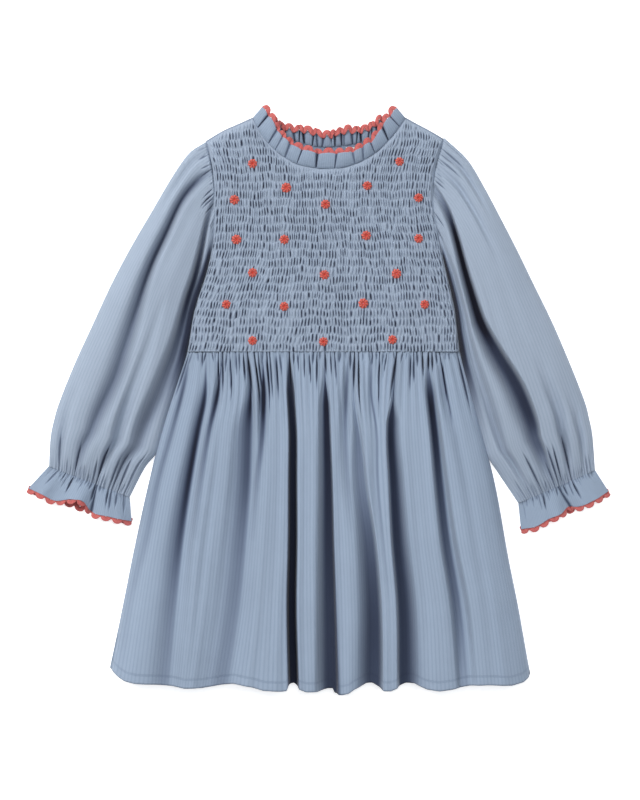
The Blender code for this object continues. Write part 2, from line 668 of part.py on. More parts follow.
def cuff_loops(sleeve, cuff, down, depths):
    """Loops of a cuff frill; down is 0 at the elastic and 1 at the free edge."""
    wrist = sleeve["sections"][-1]
    start_outer = np.array(wrist["outer"])
    start_inner = np.array(wrist["inner"])
    along = hand_direction(start_inner - start_outer)
    start_outer = start_outer + along * SEAM
    start_inner = start_inner + along * SEAM
    outer_end = start_outer + (np.array(cuff["outer"]) - start_outer) * down
    inner_end = start_inner + (np.array(cuff["inner"]) - start_inner) * down
    place = across_places(CUFF_TOP_POINTS)
    lifted = smooth_line(place, column_of(cuff["lifts"], 0), column_of(cuff["lifts"], 1))
    gathered = wrist["height"] * (1 - np.abs(2 * place - 1) ** 2.6) ** 0.62
    wave = np.where(np.arange(CUFF_TOP_POINTS) % 2 == 0, -1.0, 1.0) * WRIST_GATHER
    gathered = np.maximum(gathered, 3.6) + wave
    heights = gathered + (lifted - gathered) * down ** 0.7
    edge = 4.0
    heights[0] = edge
    heights[-1] = edge
    loops = tube_section(outer_end, inner_end, 0.0, heights, edge, CUFF_UNDER_POINTS, depths)
    shares = np.concatenate([place, np.linspace(1.0, 0.0, CUFF_UNDER_POINTS)])
    reach = smooth_line(shares, column_of(cuff["waves"], 0), column_of(cuff["waves"], 1))
    reach[CUFF_TOP_POINTS:] *= -0.3
    for loop in loops:
        loop[:, :2] += (reach * down)[:, None] * along
    return loops


def cuff_piece(name, sleeve, cuff):
    piece = Solid(name, BLUE)
    outer = []
    inner = []
    for down in CUFF_ROWS:
        loops = cuff_loops(sleeve, cuff, down, (0.0, WALL))
        outer.append(loops[0])
        inner.append(loops[1])
    piece.wall(outer, inner, closed=True)
    return piece.build()


def cuff_braid(name, sleeve, cuff):
    """Rickrack inside the cuff's free edge, with its scallops showing past it."""
    piece = Solid(name, CORAL)
    depths = (WALL + 2 * LIFT, WALL + 2 * LIFT + BRAID_THICK)
    middle = cuff_loops(sleeve, cuff, CUFF_ROWS[-2], depths)
    edge = cuff_loops(sleeve, cuff, 1.0, depths)
    wrist = sleeve["sections"][-1]
    along = hand_direction(np.array(wrist["inner"]) - np.array(wrist["outer"]))
    count = CUFF_TOP_POINTS + CUFF_UNDER_POINTS
    reach = np.where(np.arange(count) % 2 == 0, BRAID_REACH[0], BRAID_REACH[1])
    push = np.column_stack([reach[:, None] * along, np.zeros(count)])
    walls = []
    for near, far in zip(middle, edge):
        walls.append([near + (far - near) * BRAID_ROOT, far + push])
    piece.wall(walls[0], walls[1], closed=True)
    return piece.build()


def path_points(table, count):
    """Evenly spaced x, y along the line through a table."""
    line = np.array(table, dtype=float)
    steps = np.concatenate([[0], np.cumsum(np.linalg.norm(np.diff(line, axis=0), axis=1))])
    places = np.linspace(0, steps[-1], count)
    return np.stack([smooth_line(places, steps, line[:, k]) for k in range(2)], axis=1)


def frill_rows(base, edge, base_z, edge_z, pleats, rows):
    """Rows of a pleated frill from its seam to its free edge, two columns a pleat side."""
    count = 4 * pleats + 1
    base_plan = path_points(base, count)
    edge_plan = path_points(edge, count)
    step = np.arange(count) % 4
    wave = np.where((step == 1) | (step == 2), 1.0, -1.0)
    grid = []
    for row in range(rows + 1):
        down = row / rows
        plan = base_plan + (edge_plan - base_plan) * down
        height = base_z(base_plan) * (1 - down) + edge_z(base_plan) * down
        height = height + wave * (0.7 + 0.9 * down)
        grid.append(np.column_stack([plan, height]))
    return grid


def lowered(rows, amount):
    return [row - np.array([0, 0, amount]) for row in rows]


def front_frill_base_z(plan):
    return bodice_height(plan[:, 0], plan[:, 1] - 1.5) + 0.8


def front_frill_edge_z(plan):
    return front_frill_base_z(plan) + 4.5


def back_frill_base_z(plan):
    return np.full(len(plan), 2.2)


def back_frill_edge_z(plan):
    return np.full(len(plan), 3.0)


def frill_piece(name, rows):
    piece = Solid(name, BLUE)
    piece.wall(rows, lowered(rows, WALL))
    return piece.build()


def edge_braid(name, rows, above):
    """Rickrack along a frill's free edge, above or beneath its cloth."""
    piece = Solid(name, CORAL)
    length = float(np.sum(np.linalg.norm(np.diff(rows[-1][:, :2], axis=0), axis=1)))
    count = 2 * max(2, round(length / BRAID_PITCH)) + 1
    at = np.arange(len(rows[-1]))
    pick = np.linspace(0, len(at) - 1, count)
    window = (len(at) - 1) / (count - 1) + 0.01
    lines = []
    for line in (rows[-2] + (rows[-1] - rows[-2]) * 0.5, rows[-1]):
        picked = np.stack([np.interp(pick, at, line[:, k]) for k in range(3)], axis=1)
        for i in range(count):
            near = line[np.abs(at - pick[i]) <= window, 2]
            if above:
                picked[i, 2] = near.max() + 2 * LIFT + BRAID_THICK
            else:
                picked[i, 2] = near.min() - WALL - LIFT
        lines.append(picked)
    root, edge = lines
    out = edge - root
    out[:, 2] = 0.0
    out = out / np.linalg.norm(out, axis=1)[:, None]
    reach = np.where(np.arange(count) % 2 == 0, BRAID_REACH[0], BRAID_REACH[1])
    edge = edge + out * reach[:, None]
    piece.wall([root, edge], lowered([root, edge], BRAID_THICK))
    return piece.build()


def rosette(number, x, y):
    piece = Solid(f"rosette_{number:02d}", CORAL)
    count = 2 * ROSETTE_PETALS
    lift = SMOCK_HEIGHT + LIFT
    ring = []
    for k in range(count):
        turn = 2 * math.pi * k / count + number
        radius = ROSETTE_RADIUS * (1.0 if k % 2 == 0 else 0.8)
        px = x + radius * math.cos(turn)
        py = y + radius * math.sin(turn)
        ring.append((px, py, float(bodice_height(px, py)) + lift))
    centre_z = float(bodice_height(x, y)) + lift
    low = piece.add_points(ring)
    high = piece.add_points([(px, py, z + 0.6 * ROSETTE_HEIGHT) for px, py, z in ring])
    bottom, top = piece.add_points([(x, y, centre_z), (x, y, centre_z + ROSETTE_HEIGHT)])
    piece.bridge(low, high, closed=True)
    piece.fan(low, bottom)
    piece.fan(high, top)
    return piece.build()


def neck_label():
    piece = Solid("neck_label", WHITE)
    x, y, z = LABEL_LOW
    wide, long, thick = LABEL_SIZE
    top = [[(x, y, z + thick), (x + wide, y, z + thick)],
           [(x, y + long, z + thick), (x + wide, y + long, z + thick)]]
    bottom = [[(px, py, z) for px, py, _ in row] for row in top]
    piece.wall(top, bottom)
    return piece.build()


def split_at(table, x):
    """The point of a table's line at x, as a row."""
    return (x, float(top_edge(table, x)))


def half_table(table, low, high):
    """The part of a table between two x values, with new end rows where it is cut."""
    low = max(low, table[0][0])
    high = min(high, table[-1][0])
    inside = [row for row in table if low + 0.5 < row[0] < high - 0.5]
    return tuple([split_at(table, low)] + inside + [split_at(table, high)])


skirt_back()
skirt_front()
LEFT_OF_SPLIT = BACK_SPLIT_X - BACK_SPLIT_GAP / 2
RIGHT_OF_SPLIT = BACK_SPLIT_X + BACK_SPLIT_GAP / 2
bodice_back("bodice_back_left", None, LEFT_OF_SPLIT)
bodice_back("bodice_back_right", RIGHT_OF_SPLIT, None)
bodice_front()

for side, sleeve_table, cuff_table in (("left", SLEEVE_LEFT, CUFF_LEFT),
                                       ("right", SLEEVE_RIGHT, CUFF_RIGHT)):
    sleeve_piece(f"sleeve_{side}", sleeve_table)
    cuff_piece(f"cuff_frill_{side}", sleeve_table, cuff_table)
    cuff_braid(f"rickrack_cuff_{side}", sleeve_table, cuff_table)

front_rows = frill_rows(FRONT_FRILL_BASE, FRONT_FRILL_EDGE, front_frill_base_z,
                        front_frill_edge_z, FRONT_PLEATS, 2)
frill_piece("neck_frill_front", front_rows)
edge_braid("rickrack_neck_front", front_rows, above=False)
for side, low_x, high_x in (("left", -999.0, LEFT_OF_SPLIT), ("right", RIGHT_OF_SPLIT, 999.0)):
    back_rows = frill_rows(half_table(BACK_FRILL_BASE, low_x, high_x),
                           half_table(BACK_FRILL_EDGE, low_x, high_x),
                           back_frill_base_z, back_frill_edge_z, BACK_PLEATS, 1)
    frill_piece(f"neck_frill_back_{side}", back_rows)
    edge_braid(f"rickrack_neck_back_{side}", back_rows, above=True)

neck_label()
for index, (rosette_x, rosette_y) in enumerate(ROSETTES, start=1):
    rosette(index, rosette_x, rosette_y)
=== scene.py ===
"""Looks of the smocked dress, laid flat on a pale surface and seen from straight above.

Sizes are in millimetres until a mesh is made. The tables and the smooth surface functions
are those of the solids; the cloth here follows them with finer folds, gathers and puckers,
and shade is painted into their hollows.
"""
import math

import bpy
import numpy as np
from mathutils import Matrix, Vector


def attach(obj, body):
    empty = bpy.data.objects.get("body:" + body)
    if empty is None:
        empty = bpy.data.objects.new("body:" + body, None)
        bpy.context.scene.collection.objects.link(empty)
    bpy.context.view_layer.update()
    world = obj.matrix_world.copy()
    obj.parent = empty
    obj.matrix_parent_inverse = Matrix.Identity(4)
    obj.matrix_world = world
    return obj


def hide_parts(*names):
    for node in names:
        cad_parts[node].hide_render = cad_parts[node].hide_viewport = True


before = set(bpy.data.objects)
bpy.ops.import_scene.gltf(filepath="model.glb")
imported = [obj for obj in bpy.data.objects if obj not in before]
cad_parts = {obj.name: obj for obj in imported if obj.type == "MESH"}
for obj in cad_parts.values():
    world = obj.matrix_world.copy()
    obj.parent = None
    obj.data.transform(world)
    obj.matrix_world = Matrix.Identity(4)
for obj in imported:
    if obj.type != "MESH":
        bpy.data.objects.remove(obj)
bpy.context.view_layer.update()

MM = 0.001
PX_HIGH = 800
CAMERA_HEIGHT = 2200.0
SENSOR = 36.0

# Cloth and the gaps between pieces
WALL = 1.2
SEAM = 0.4
LIFT = 0.35
Z_SEAM = 2.9          # top of the front cloth where it meets the back cloth
Z_FRONT = 12.0        # top of the front bodice, away from its edges

# Bodice, whose waist seam is at WAIST_Y
WAIST_Y = 48.0
SHOULDER_TIP_Y = 258.0
SMOCK_BAND = 8.45     # distance from one elastic row to the next
SMOCK_HEIGHT = 1.7
PLAIN_STRIP = 9.0     # cloth without smocking along the neck seam
BODICE_ROUND = 26.0   # width over which the bodice rounds down to its side seams
ARMHOLE_LIFT = 5.6    # how much higher the bodice's side is where a sleeve is set in
SHOULDER_Y = 284.0    # line of the shoulder seams by the neck, and their slope outwards
SHOULDER_SLOPE = 0.47
SHOULDER_ROUND = 24.0 # distance over which the cloth comes down to a shoulder seam

# Neck
NECK_MIDDLE_X = 9.0
NECK_HALF = 74.0
BACK_SPLIT_X = 13.0
BACK_SPLIT_GAP = 1.0

# Skirt
GATHERS = 42
FOLD_FLOOR = 8.5      # top of the cloth in the deepest valley
HEM_Y = -280.0        # level of the hem's highest places
SIDE_ROUND = 44.0     # width over which the skirt rounds down to its side seams
BACK_HEM_INSET = 1.5  # how far the back's hem stays inside the front's at its corners

# Half outline of the body: y, x of the left edge, x of the right edge
BODICE_SIDES = (
    (258, -114, 123),
    (230, -107, 114.5),
    (197, -106, 113.5),
    (157, -108, 120.5),
    (132, -113, 126),
    (90, -126, 135.5),
    (48, -133, 140),
)
SKIRT_SIDES = (
    (48, -133, 140),
    (-30, -158, 161),
    (-76, -169.5, 173),
    (-160, -187.8, 188.7),
    (-208, -196.8, 198.2),
    (-290, -211.5, 211.5),
)
# Bottom edge of the skirt front, which hangs lower under each raised fold: x, y
HEM_LINE = (
    (-212, -265.5), (-206, -270.5), (-200, -275), (-193, -278.5),
    (-182, -280.5), (-164, -281.5), (-146, -283), (-134, -285.5),
    (-117, -285), (-98, -282), (-86, -281), (-68, -283.5), (-56, -287),
    (-38, -288), (-33, -287.5), (-31, -282.5), (-26, -281.5), (-20, -286),
    (-14, -288.5), (-2, -288.5), (8, -286.5), (12.5, -286.5), (14.5, -291),
    (22, -291.5), (28, -290), (34, -286), (46, -281), (52, -281),
    (63, -287.5), (70, -287.5), (76, -285), (85, -281), (94, -281),
    (106, -286), (118, -287.5), (130, -286), (148, -282.5), (166, -281.5),
    (190, -282.5), (202, -280), (208, -276), (212, -270.5),
)

# Top edge of the front bodice from shoulder to shoulder: x, y
FRONT_TOP = (
    (-114, 258.5), (-95, 270), (-67, 281.5), (-61.5, 271), (-53, 258),
    (-40, 245.5), (-23, 235.5), (0, 231), (23, 232), (40, 237.5),
    (58, 248.5), (71, 262), (80, 274), (85, 281.5), (107, 270),
    (123, 261),
)
# Top edge of the back bodice: x, y
BACK_TOP = (
    (-114, 258.5), (-95, 270), (-68, 281.5), (-55, 273), (-37, 263),
    (-11, 255.5), (9, 253.5), (30, 256), (52, 261.5), (70, 272),
    (86, 281.5), (107, 270), (123, 261),
)

# Free edge of the front neck frill and of the back one: x, y
FRONT_FRILL_EDGE = (
    (-57, 291.5), (-49, 279), (-41, 266), (-31, 255.5), (-19, 249),
    (-5, 245), (12, 245), (28, 245), (44, 252), (52, 257),
    (59, 267), (68, 279.5), (76, 290.5),
)
FRONT_FRILL_BASE = (
    (-65.5, 282.5), (-61, 272.5), (-52.5, 259.5), (-39.5, 247), (-22.5, 237),
    (0, 232.5), (23, 233.5), (39.5, 239), (57, 250), (70, 263.5),
    (79, 275), (83.5, 282.5),
)
BACK_FRILL_BASE = (
    (-47, 270), (-37, 264.2), (-24, 259.8), (-11, 256.7), (9, 254.7),
    (30, 257.2), (52, 262.9), (64, 269.5),
)
BACK_FRILL_EDGE = (
    (-47, 281), (-34, 271), (-20, 270), (-5, 267), (9, 263.5),
    (25, 268.5), (45, 270), (63, 281.5),
)

# Rickrack braid
BRAID_PITCH = 11.5

# Skirt folds, named from the left. Each valley has its x at the stations of FOLD_Y, how
# deep it is there, from 0 to 1, and its half width to either side at the waist and hem.
# Long ones also have a column, which is their place on the skirt's cloth. The look says how
# sharp the left and right side is, how dark the shade painted into the hollow is and how that
# falls with its depth, and the painted dark part's half width to either side at the waist and
# hem. A fold opens between two distances below the waist. Its shift is how far it lies from
# its place in the solids.
FOLD_Y = (48, 5, -30, -80, -140, -200, -290)
FOLDS = (
    # left edge
    dict(column=None,
         x=(-129, -138, -147, -161, -173, -189, -200),
         depth=(0.3, 0.6, 0.45, 0.35, 0.2, 0.1, 0), left=(4, 8), right=(4, 9),
         look=(2, 2.6, 1.3, 1, (2, 5), (2, 4))),
    # left long
    dict(column=6,
         x=(-113, -115, -122, -131, -142, -153, -172),
         depth=(0.2, 0.75, 0.8, 0.8, 0.65, 0.4, 0.25), left=(3.5, 17), right=(4, 20),
         look=(1.8, 4, 1.2, 0.9, (3, 8), (3, 5)), opens=(12, 60),
         shift=(0, 0, 0, 0, 2, 6.5, 17)),
    # left short
    dict(column=None,
         x=(-97, -102, -110, -118, -124, -130, -140),
         depth=(0.2, 0.8, 0.4, 0.1, 0, 0, 0), left=(4, 8), right=(4, 8),
         look=(2.4, 3.4, 1.1, 0.45, (2.6, 3.5), (2.2, 3)), opens=(15, 50)),
    # left broad
    dict(column=19,
         x=(-72, -69, -71, -73, -78, -84, -98),
         depth=(0.2, 0.9, 0.8, 0.75, 0.6, 0.5, 0.4), left=(4, 28), right=(4, 17),
         look=(1.8, 3.4, 1.15, 1.3, (7, 12), (3, 6)), opens=(28, 85)),
    # middle short
    dict(column=None,
         x=(-57, -56, -57, -62, -66, -70, -74),
         depth=(0.2, 0.9, 0.5, 0.1, 0, 0, 0), left=(4, 8), right=(4, 8),
         look=(3.5, 3.5, 1.15, 0.5, (2.8, 3.5), (2.4, 3)), opens=(8, 45)),
    # deepest
    dict(column=31,
         x=(-31, -30, -28, -28, -28, -29, -27),
         depth=(0.2, 0.95, 1, 1, 1, 1, 0.95), left=(3.5, 4.5), right=(3.5, 4.5),
         look=(8, 8, 0.97, 0.3, (3.5, 5.5), (3.5, 5.5)), opens=(0, 42),
         shift=(0, 1, 1, 1, 1, 1, 1)),
    # middle
    dict(column=42,
         x=(4, 5, 6, 8, 5, 6, 9),
         depth=(0.2, 0.95, 0.95, 0.9, 0.85, 0.8, 0.8), left=(4, 13), right=(3.5, 5),
         look=(4, 8, 1, 0.5, (2, 10), (2.5, 7)), opens=(18, 58),
         shift=(0, 0.5, 0.5, 0, 4, 4.5, 3.5)),
    # right short
    dict(column=None,
         x=(28, 26, 25, 27, 32, 35, 38),
         depth=(0.2, 0.75, 0.5, 0.25, 0, 0, 0), left=(4, 8), right=(4, 8),
         look=(2.6, 3, 0.9, 0.8, (1.6, 3.5), (1.6, 3.5))),
    # right inner
    dict(column=51,
         x=(32, 33, 37, 40, 47, 50, 50),
         depth=(0, 0.35, 0.5, 0.5, 0.7, 0.8, 0.8), left=(4, 11), right=(4, 9),
         look=(2.4, 8, 1.05, 0.9, (2, 11), (2, 9)), opens=(50, 120),
         shift=(0, 0, 0, 0, 1, 2, 2)),
    # right faint
    dict(column=None,
         x=(52, 51, 56, 57, 62, 68, 70),
         depth=(0.2, 0.6, 0.35, 0.25, 0.1, 0, 0), left=(4, 8), right=(4, 8),
         look=(2.4, 2.6, 0.95, 0.6, (1.1, 1.5), (1.1, 1.5))),
    # right deep
    dict(column=65,
         x=(77, 73, 71, 75, 81, 89, 91),
         depth=(0.2, 0.7, 0.95, 0.9, 0.85, 0.8, 0.75), left=(4, 7), right=(4, 12),
         look=(8, 3, 0.95, 0.4, (3, 6), (3, 12)), opens=(46, 72),
         shift=(0, 0, 0, -1.5, -4, -6.5, -6.5)),
    # right long
    dict(column=74,
         x=(106, 110, 114, 119, 126, 136, 144),
         depth=(0.2, 0.95, 0.95, 0.85, 0.75, 0.6, 0.25), left=(4, 7), right=(4, 11),
         look=(5, 5, 1, 1, (3.5, 6), (3.5, 4)), opens=(6, 46)),
    # right outer
    dict(column=None,
         x=(120, 124, 133, 141, 150, 160, 170),
         depth=(0.2, 0.6, 0.3, 0.1, 0, 0, 0), left=(4, 8), right=(4, 8),
         look=(2, 2.4, 0.5, 1, (2, 3), (2, 3))),
)
# Height of the folds' crests at the stations of FOLD_Y
CREST = (11.5, 15.5, 19, 22, 25, 28, 30)

# Sleeves, from the armhole to the elastic at the wrist: x, y of the outer and of the inner
# end of each section, its height, and how far its middle bows towards the hand. An inner
# end with no x lies beside the body. Each fold has its place across the sleeve and its
# depth at every section, its half width, and its look: how sharp each side is, how much
# wider it is on either side, how dark its painted shade is, and how much of its depth it keeps.
# Beside the body a sleeve gets painted shade: how dark, and from what place across it.
SLEEVE_LEFT = dict(
    side=1,
    beside=(0.95, 0.86),
    sections=(
        (-115.2, 257, None, 159, 11, -5),
        (-131, 246, None, 146, 15, -3),
        (-148, 222, None, 130, 19, -1),
        (-168, 188, None, 112, 22, 0),
        (-189, 152, None, 90, 24, 1),
        (-208, 116, None, 66, 25, 2),
        (-227, 75, None, 38, 26, 2),
        (-244, 38, None, 7, 26, 2),
        (-259, 1, None, -27, 24, 1),
        (-265, -18, None, -51, 21.5, 0.5),
        (-269, -38, -175, -68, 18, 0),
        (-270.5, -66, -190, -97, 9, 0),
    ),
    folds=(
        ((0.3, 0.28, 0.25, 0.28, 0.31, 0.35, 0.38, 0.41, 0.38, 0.36, 0.34, 0.33),
         (0.3, 0.55, 0.6, 0.6, 0.6, 0.55, 0.5, 0.5, 0.5, 0.475, 0.45, 0.2), 0.06,
         (1.4, 2.2, 0.95, 1.3, 1.05, 0.9)),
        ((0.6, 0.7, 0.8, 0.86, 0.88, 0.88, 0.87, 0.86, 0.82, 0.805, 0.79, 0.8),
         (0.3, 0.5, 0.6, 0.65, 0.65, 0.6, 0.55, 0.5, 0.5, 0.45, 0.4, 0.2), 0.06,
         (3, 2.2, 0.9, 1.5, 1, 1)),
        ((0.62, 0.62, 0.62, 0.62, 0.62, 0.62, 0.62, 0.62, 0.62, 0.615, 0.61, 0.6),
         (0, 0, 0, 0, 0, 0.05, 0.1, 0.2, 0.35, 0.425, 0.5, 0.2), 0.045,
         (2.2, 2.6, 1, 1, 0.25, 1)),
        ((0.1, 0.1, 0.1, 0.1, 0.1, 0.1, 0.1, 0.1, 0.1, 0.11, 0.12, 0.12),
         (0.2, 0.25, 0.2, 0, 0, 0, 0, 0, 0.15, 0.25, 0.35, 0.2), 0.045,
         (2.2, 2.6, 1, 1, 0.4, 1)),
    ),
)
SLEEVE_RIGHT = dict(
    side=2,
    beside=(1, 0.90),
    sections=(
        (126, 260, None, 159, 11, -9),
        (147, 240, None, 144, 15, -5),
        (163, 214, None, 130, 19, -2),
        (179, 184, None, 114, 22, 0),
        (196, 151, None, 92, 24, 1),
        (213, 116, None, 66, 25, 2),
        (232, 77, None, 34, 26, 2),
        (250, 35, None, 2, 26, 2),
        (264, -1, None, -31, 24, 1),
        (268.5, -18, None, -54, 21.5, 0.5),
        (272, -36, 176.5, -71, 18, 0),
        (274.5, -70, 198, -103, 9, 0),
    ),
    folds=(
        ((0.49, 0.58, 0.66, 0.72, 0.74, 0.72, 0.65, 0.57, 0.54, 0.54, 0.54, 0.55),
         (0.3, 0.55, 0.65, 0.65, 0.65, 0.65, 0.6, 0.6, 0.6, 0.55, 0.5, 0.2), 0.055,
         (8, 2.4, 1, 1.7, 1.15, 1)),
        ((0.88, 0.9, 0.9, 0.9, 0.9, 0.89, 0.88, 0.87, 0.86, 0.845, 0.83, 0.82),
         (0.1, 0.25, 0.35, 0.4, 0.4, 0.4, 0.4, 0.4, 0.45, 0.425, 0.4, 0.2), 0.045,
         (2.4, 2.4, 0.8, 0.9, 0.55, 1)),
        ((0.28, 0.28, 0.28, 0.28, 0.28, 0.28, 0.28, 0.28, 0.27, 0.28, 0.29, 0.3),
         (0.2, 0.3, 0.2, 0.1, 0, 0, 0, 0.1, 0.3, 0.4, 0.5, 0.2), 0.045,
         (2.2, 2.6, 1, 1, 0.4, 1)),
        ((0.12, 0.12, 0.12, 0.12, 0.12, 0.12, 0.12, 0.12, 0.12, 0.12, 0.12, 0.13),
         (0.3, 0.35, 0.2, 0, 0, 0, 0, 0, 0.15, 0.275, 0.4, 0.2), 0.04,
         (2.2, 2.6, 1, 1, 0.4, 1)),
    ),
)
BODY_GAP = -1.4       # a sleeve reaches this far under the body's side
EDGE_ROUND = 1.0      # how far a tube's underside stops short of its side

# Cuff frills: the ends of the free edge, the places of the deep pleat at the elastic and at
# the edge, waves of that edge in plan (place, reach), and how high it is lifted
CUFF_LEFT = dict(
    pleat=(0.60, 0.62),
    outer=(-291, -88), inner=(-188, -121),
    waves=((0, 0), (0.14, 1.5), (0.27, 3.5), (0.42, -3.5), (0.53, -4.5), (0.60, 1.5),
           (0.80, 2), (1, 0)),
    lifts=((0, 4), (0.14, 9), (0.27, 8), (0.42, 15), (0.52, 15.5), (0.60, 8),
           (0.72, 10.5), (0.88, 10), (1, 4)),
)
CUFF_RIGHT = dict(
    pleat=(0.49, 0.43),
    outer=(288, -91), inner=(200.5, -129),
    waves=((0, 0), (0.20, 2), (0.38, 1), (0.45, -2), (0.55, 1), (0.70, 1),
           (0.84, 3), (1, 0)),
    lifts=((0, 4), (0.16, 12), (0.34, 11.5), (0.43, 6.5), (0.54, 12.5), (0.70, 12.5),
           (0.86, 9.5), (1, 4)),
)

# Embroidered rosettes on the smocking: x, y
ROSETTE_RADIUS = 5.2
ROSETTES = (
    (-67, 235), (79, 237), (-33.5, 211), (47, 213), (-85, 199), (5.5, 194.5), (98, 201),
    (-83, 159.5), (-35.5, 159.5), (46, 163.5), (98, 160.5), (-67, 126.5), (4.5, 124.5),
    (76, 125.5), (-93, 95), (-35.5, 93), (43, 96), (104, 95), (-67, 59), (3.5, 58), (72, 60),
)

# Blank label inside the back neck
LABEL_LOW = (26, 238.5, WALL + LIFT)
LABEL_SIZE = (13, 14, 0.8)

# Neck frills: pleats of the front one, at its free edge, in pixels of the photograph
FRONT_GROOVES = ((263, 121), (273, 135), (280, 141), (290, 147), (302, 151), (318, 155),
                 (336, 155.5), (353, 153), (361, 148), (371, 144), (383, 131), (391, 119))
FRILL_SCALLOP = 1.7   # how far a frill's edge swings in and out between its grooves
FRILL_TUCK = 2.0      # how far a frill reaches past its seam, over the bodice

# Slow waves across the skirt: height, turn for each place, start and drift downwards
SKIRT_WAVES = ((1, 1.31, 0, 0.011), (0.7, 0.83, 2, -0.008), (0.45, 2.43, 0.9, 0.006))

# Fineness of the cloth
SKIRT_CLOTH = 2.0 * GATHERS    # places across the skirt's cloth
SKIRT_COLUMNS = 430
SKIRT_ROWS = 196
SKIRT_BACK_GRID = (150, 110)
WAIST_SLITS = 64
SLIT_DEPTH = 4.6
PUCKERS = 82
SMOCK_BANDS = 32
SMOCK_KNOTS = 30
BODICE_COLUMNS = 470
BODICE_ROWS = 205
BODICE_BACK_GRID = (130, 150)
TUBE_TOP = 190
TUBE_UNDER = 50
SLEEVE_ROWS = 205
CUFF_ROWS = 34
# Gathers across a tube: how many, their margin, and the ranges of their lengths and widths
CAP_GATHERS = (20, 0.02, (0.25, 1.5), (0.08, 0.15))
WRIST_GATHERS = (18, 0.03, (0.3, 2.1), (0.09, 0.17))
CUFF_GATHERS = (22, 0.03, (0.15, 0.9), (0.05, 0.10))
CUFF_UNDER = 90
BRAID_WAVE = 1.95
BRAID_STRAND = 5.0
BRAID_STEPS = 14      # points along one scallop
BRAID_THICK = 0.9
THREAD_PETALS = 8
ROSETTE_GRID = (15, 70)

PLACKET = 4.0         # how far the right half of the back reaches under the left one
CUFF_TUCK = 0.3       # how far a cuff frill reaches under its sleeve
BACK_Z = 0.55         # level of the back's cloth
RIM_Z = WALL + 0.1    # level where the front's cloth meets the back at its sides
SKIRT_CUT = 620.0
BODICE_CUT = 560.0
CUFF_CUT = 300.0
HEM_STITCH = 0.009    # metres from the hem's edge

# Pitches of the cloth, in metres
STRIPE_PITCH = 0.0033
WARP_PITCH = 0.00055
WEFT_PITCH = 0.00060
STITCH_PITCH = 0.0026
BRAID_PITCHES = (0.0011, 0.0014)
TAPE_PITCH = 0.0005

# Colours
LIGHT_BLUE = (0.298, 0.370, 0.480)
STRIPE_BLUE = (0.200, 0.262, 0.362)
# The same cotton painted lighter and paler for the sleeves, as painted sheen
SLEEVE_BLUE_PAINTED_LIGHTER = (0.338, 0.403, 0.502)
SLEEVE_STRIPE_PAINTED_LIGHTER = (0.234, 0.294, 0.386)
# Smocked cloth: the same cotton painted lighter, as painted highlight on the puckers
SMOCKED_BLUE_PAINTED_LIGHTER = (0.333, 0.400, 0.504)
SMOCKED_STRIPE_PAINTED_LIGHTER = (0.260, 0.322, 0.414)
# Painted shade: colours that a piece's painted shade mark mixes into the cloth
PAINTED_SHADE_NAVY = (0.036, 0.053, 0.116)
PAINTED_SHADE_BLACK = (0.0115, 0.0125, 0.0215)
BRAID_CORALS = ((0.52, 0.100, 0.095), (0.76, 0.220, 0.205))
THREAD_CORAL = (0.84, 0.135, 0.100)
THREAD_MIDDLE = (0.58, 0.032, 0.016)
# Thread colours for painted shade between the coils and for painted glints of shine
THREAD_PAINTED_SHADE = (0.16, 0.014, 0.018)
THREAD_PAINTED_SHINE = (0.84, 0.24, 0.17)
TAPE_WHITES = ((0.72, 0.72, 0.70), (0.84, 0.84, 0.82))
FLOOR_WHITES = ((0.90, 0.90, 0.90), (0.93, 0.93, 0.93))
FLOOR_GLOW = 0.60
SKY = (0.93, 0.96, 1.0, 1)
SKY_POWER = 0.30
# Area lights: name, place, size, power and colour
LIGHTS = (
    ("overhead", (0.45, 0.95, 3.4), 2.6, 70, (1, 1, 1)),
    ("key", (-1.9, 1.5, 2.4), 1.2, 76, (1.0, 0.985, 0.96)),
)

RANDOM = np.random.default_rng(11)


def smooth_line(place, knots, values):
    """Values of a smooth line through a table, held level past its ends."""
    knots = np.asarray(knots, dtype=float)
    values = np.asarray(values, dtype=float)
    if knots[0] > knots[-1]:
        knots = knots[::-1]
        values = values[::-1]
    slopes = np.gradient(values, knots)
    place = np.clip(np.asarray(place, dtype=float), knots[0], knots[-1])
    i = np.clip(np.searchsorted(knots, place) - 1, 0, len(knots) - 2)
    step = knots[i + 1] - knots[i]
    t = (place - knots[i]) / step
    rise = values[i + 1] - values[i]
    bend = (1 - t) * (slopes[i] * step - rise) - t * (slopes[i + 1] * step - rise)
    return values[i] + t * rise + t * (1 - t) * bend


def ease(value, low, high):
    """Smooth step from 0 at low to 1 at high."""
    t = np.clip((np.asarray(value, dtype=float) - low) / (high - low), 0.0, 1.0)
    return t * t * (3 - 2 * t)


def dome(distance, width):
    """Round shoulder: 0 at an edge, 1 from width inwards."""
    t = np.clip(np.asarray(distance, dtype=float) / width, 0.0, 1.0)
    return np.sqrt(1 - (1 - t) ** 2)


def bell(value, power=2):
    """1 at zero, falling to nothing on either side."""
    return np.exp(-np.abs(value) ** power)


def between(pair, share):
    """From the first of a pair at share 0 to the second at share 1."""
    return pair[0] + (pair[1] - pair[0]) * share


def edge_line(table, x):
    """Y of an edge at x, in straight steps between its rows."""
    return np.interp(x, *zip(*table))


def side_edges(table, y):
    """Left and right x of the body at height y."""
    ys, lefts, rights = zip(*table)
    return smooth_line(y, ys, lefts), smooth_line(y, ys, rights)


def sleeve_edge(y, side):
    """X where a sleeve ends under the body's left (1) or right (2) side at height y."""
    table = BODICE_SIDES if y > WAIST_Y else SKIRT_SIDES
    edge = float(side_edges(table, y)[side - 1])
    return edge - BODY_GAP if side == 1 else edge + BODY_GAP


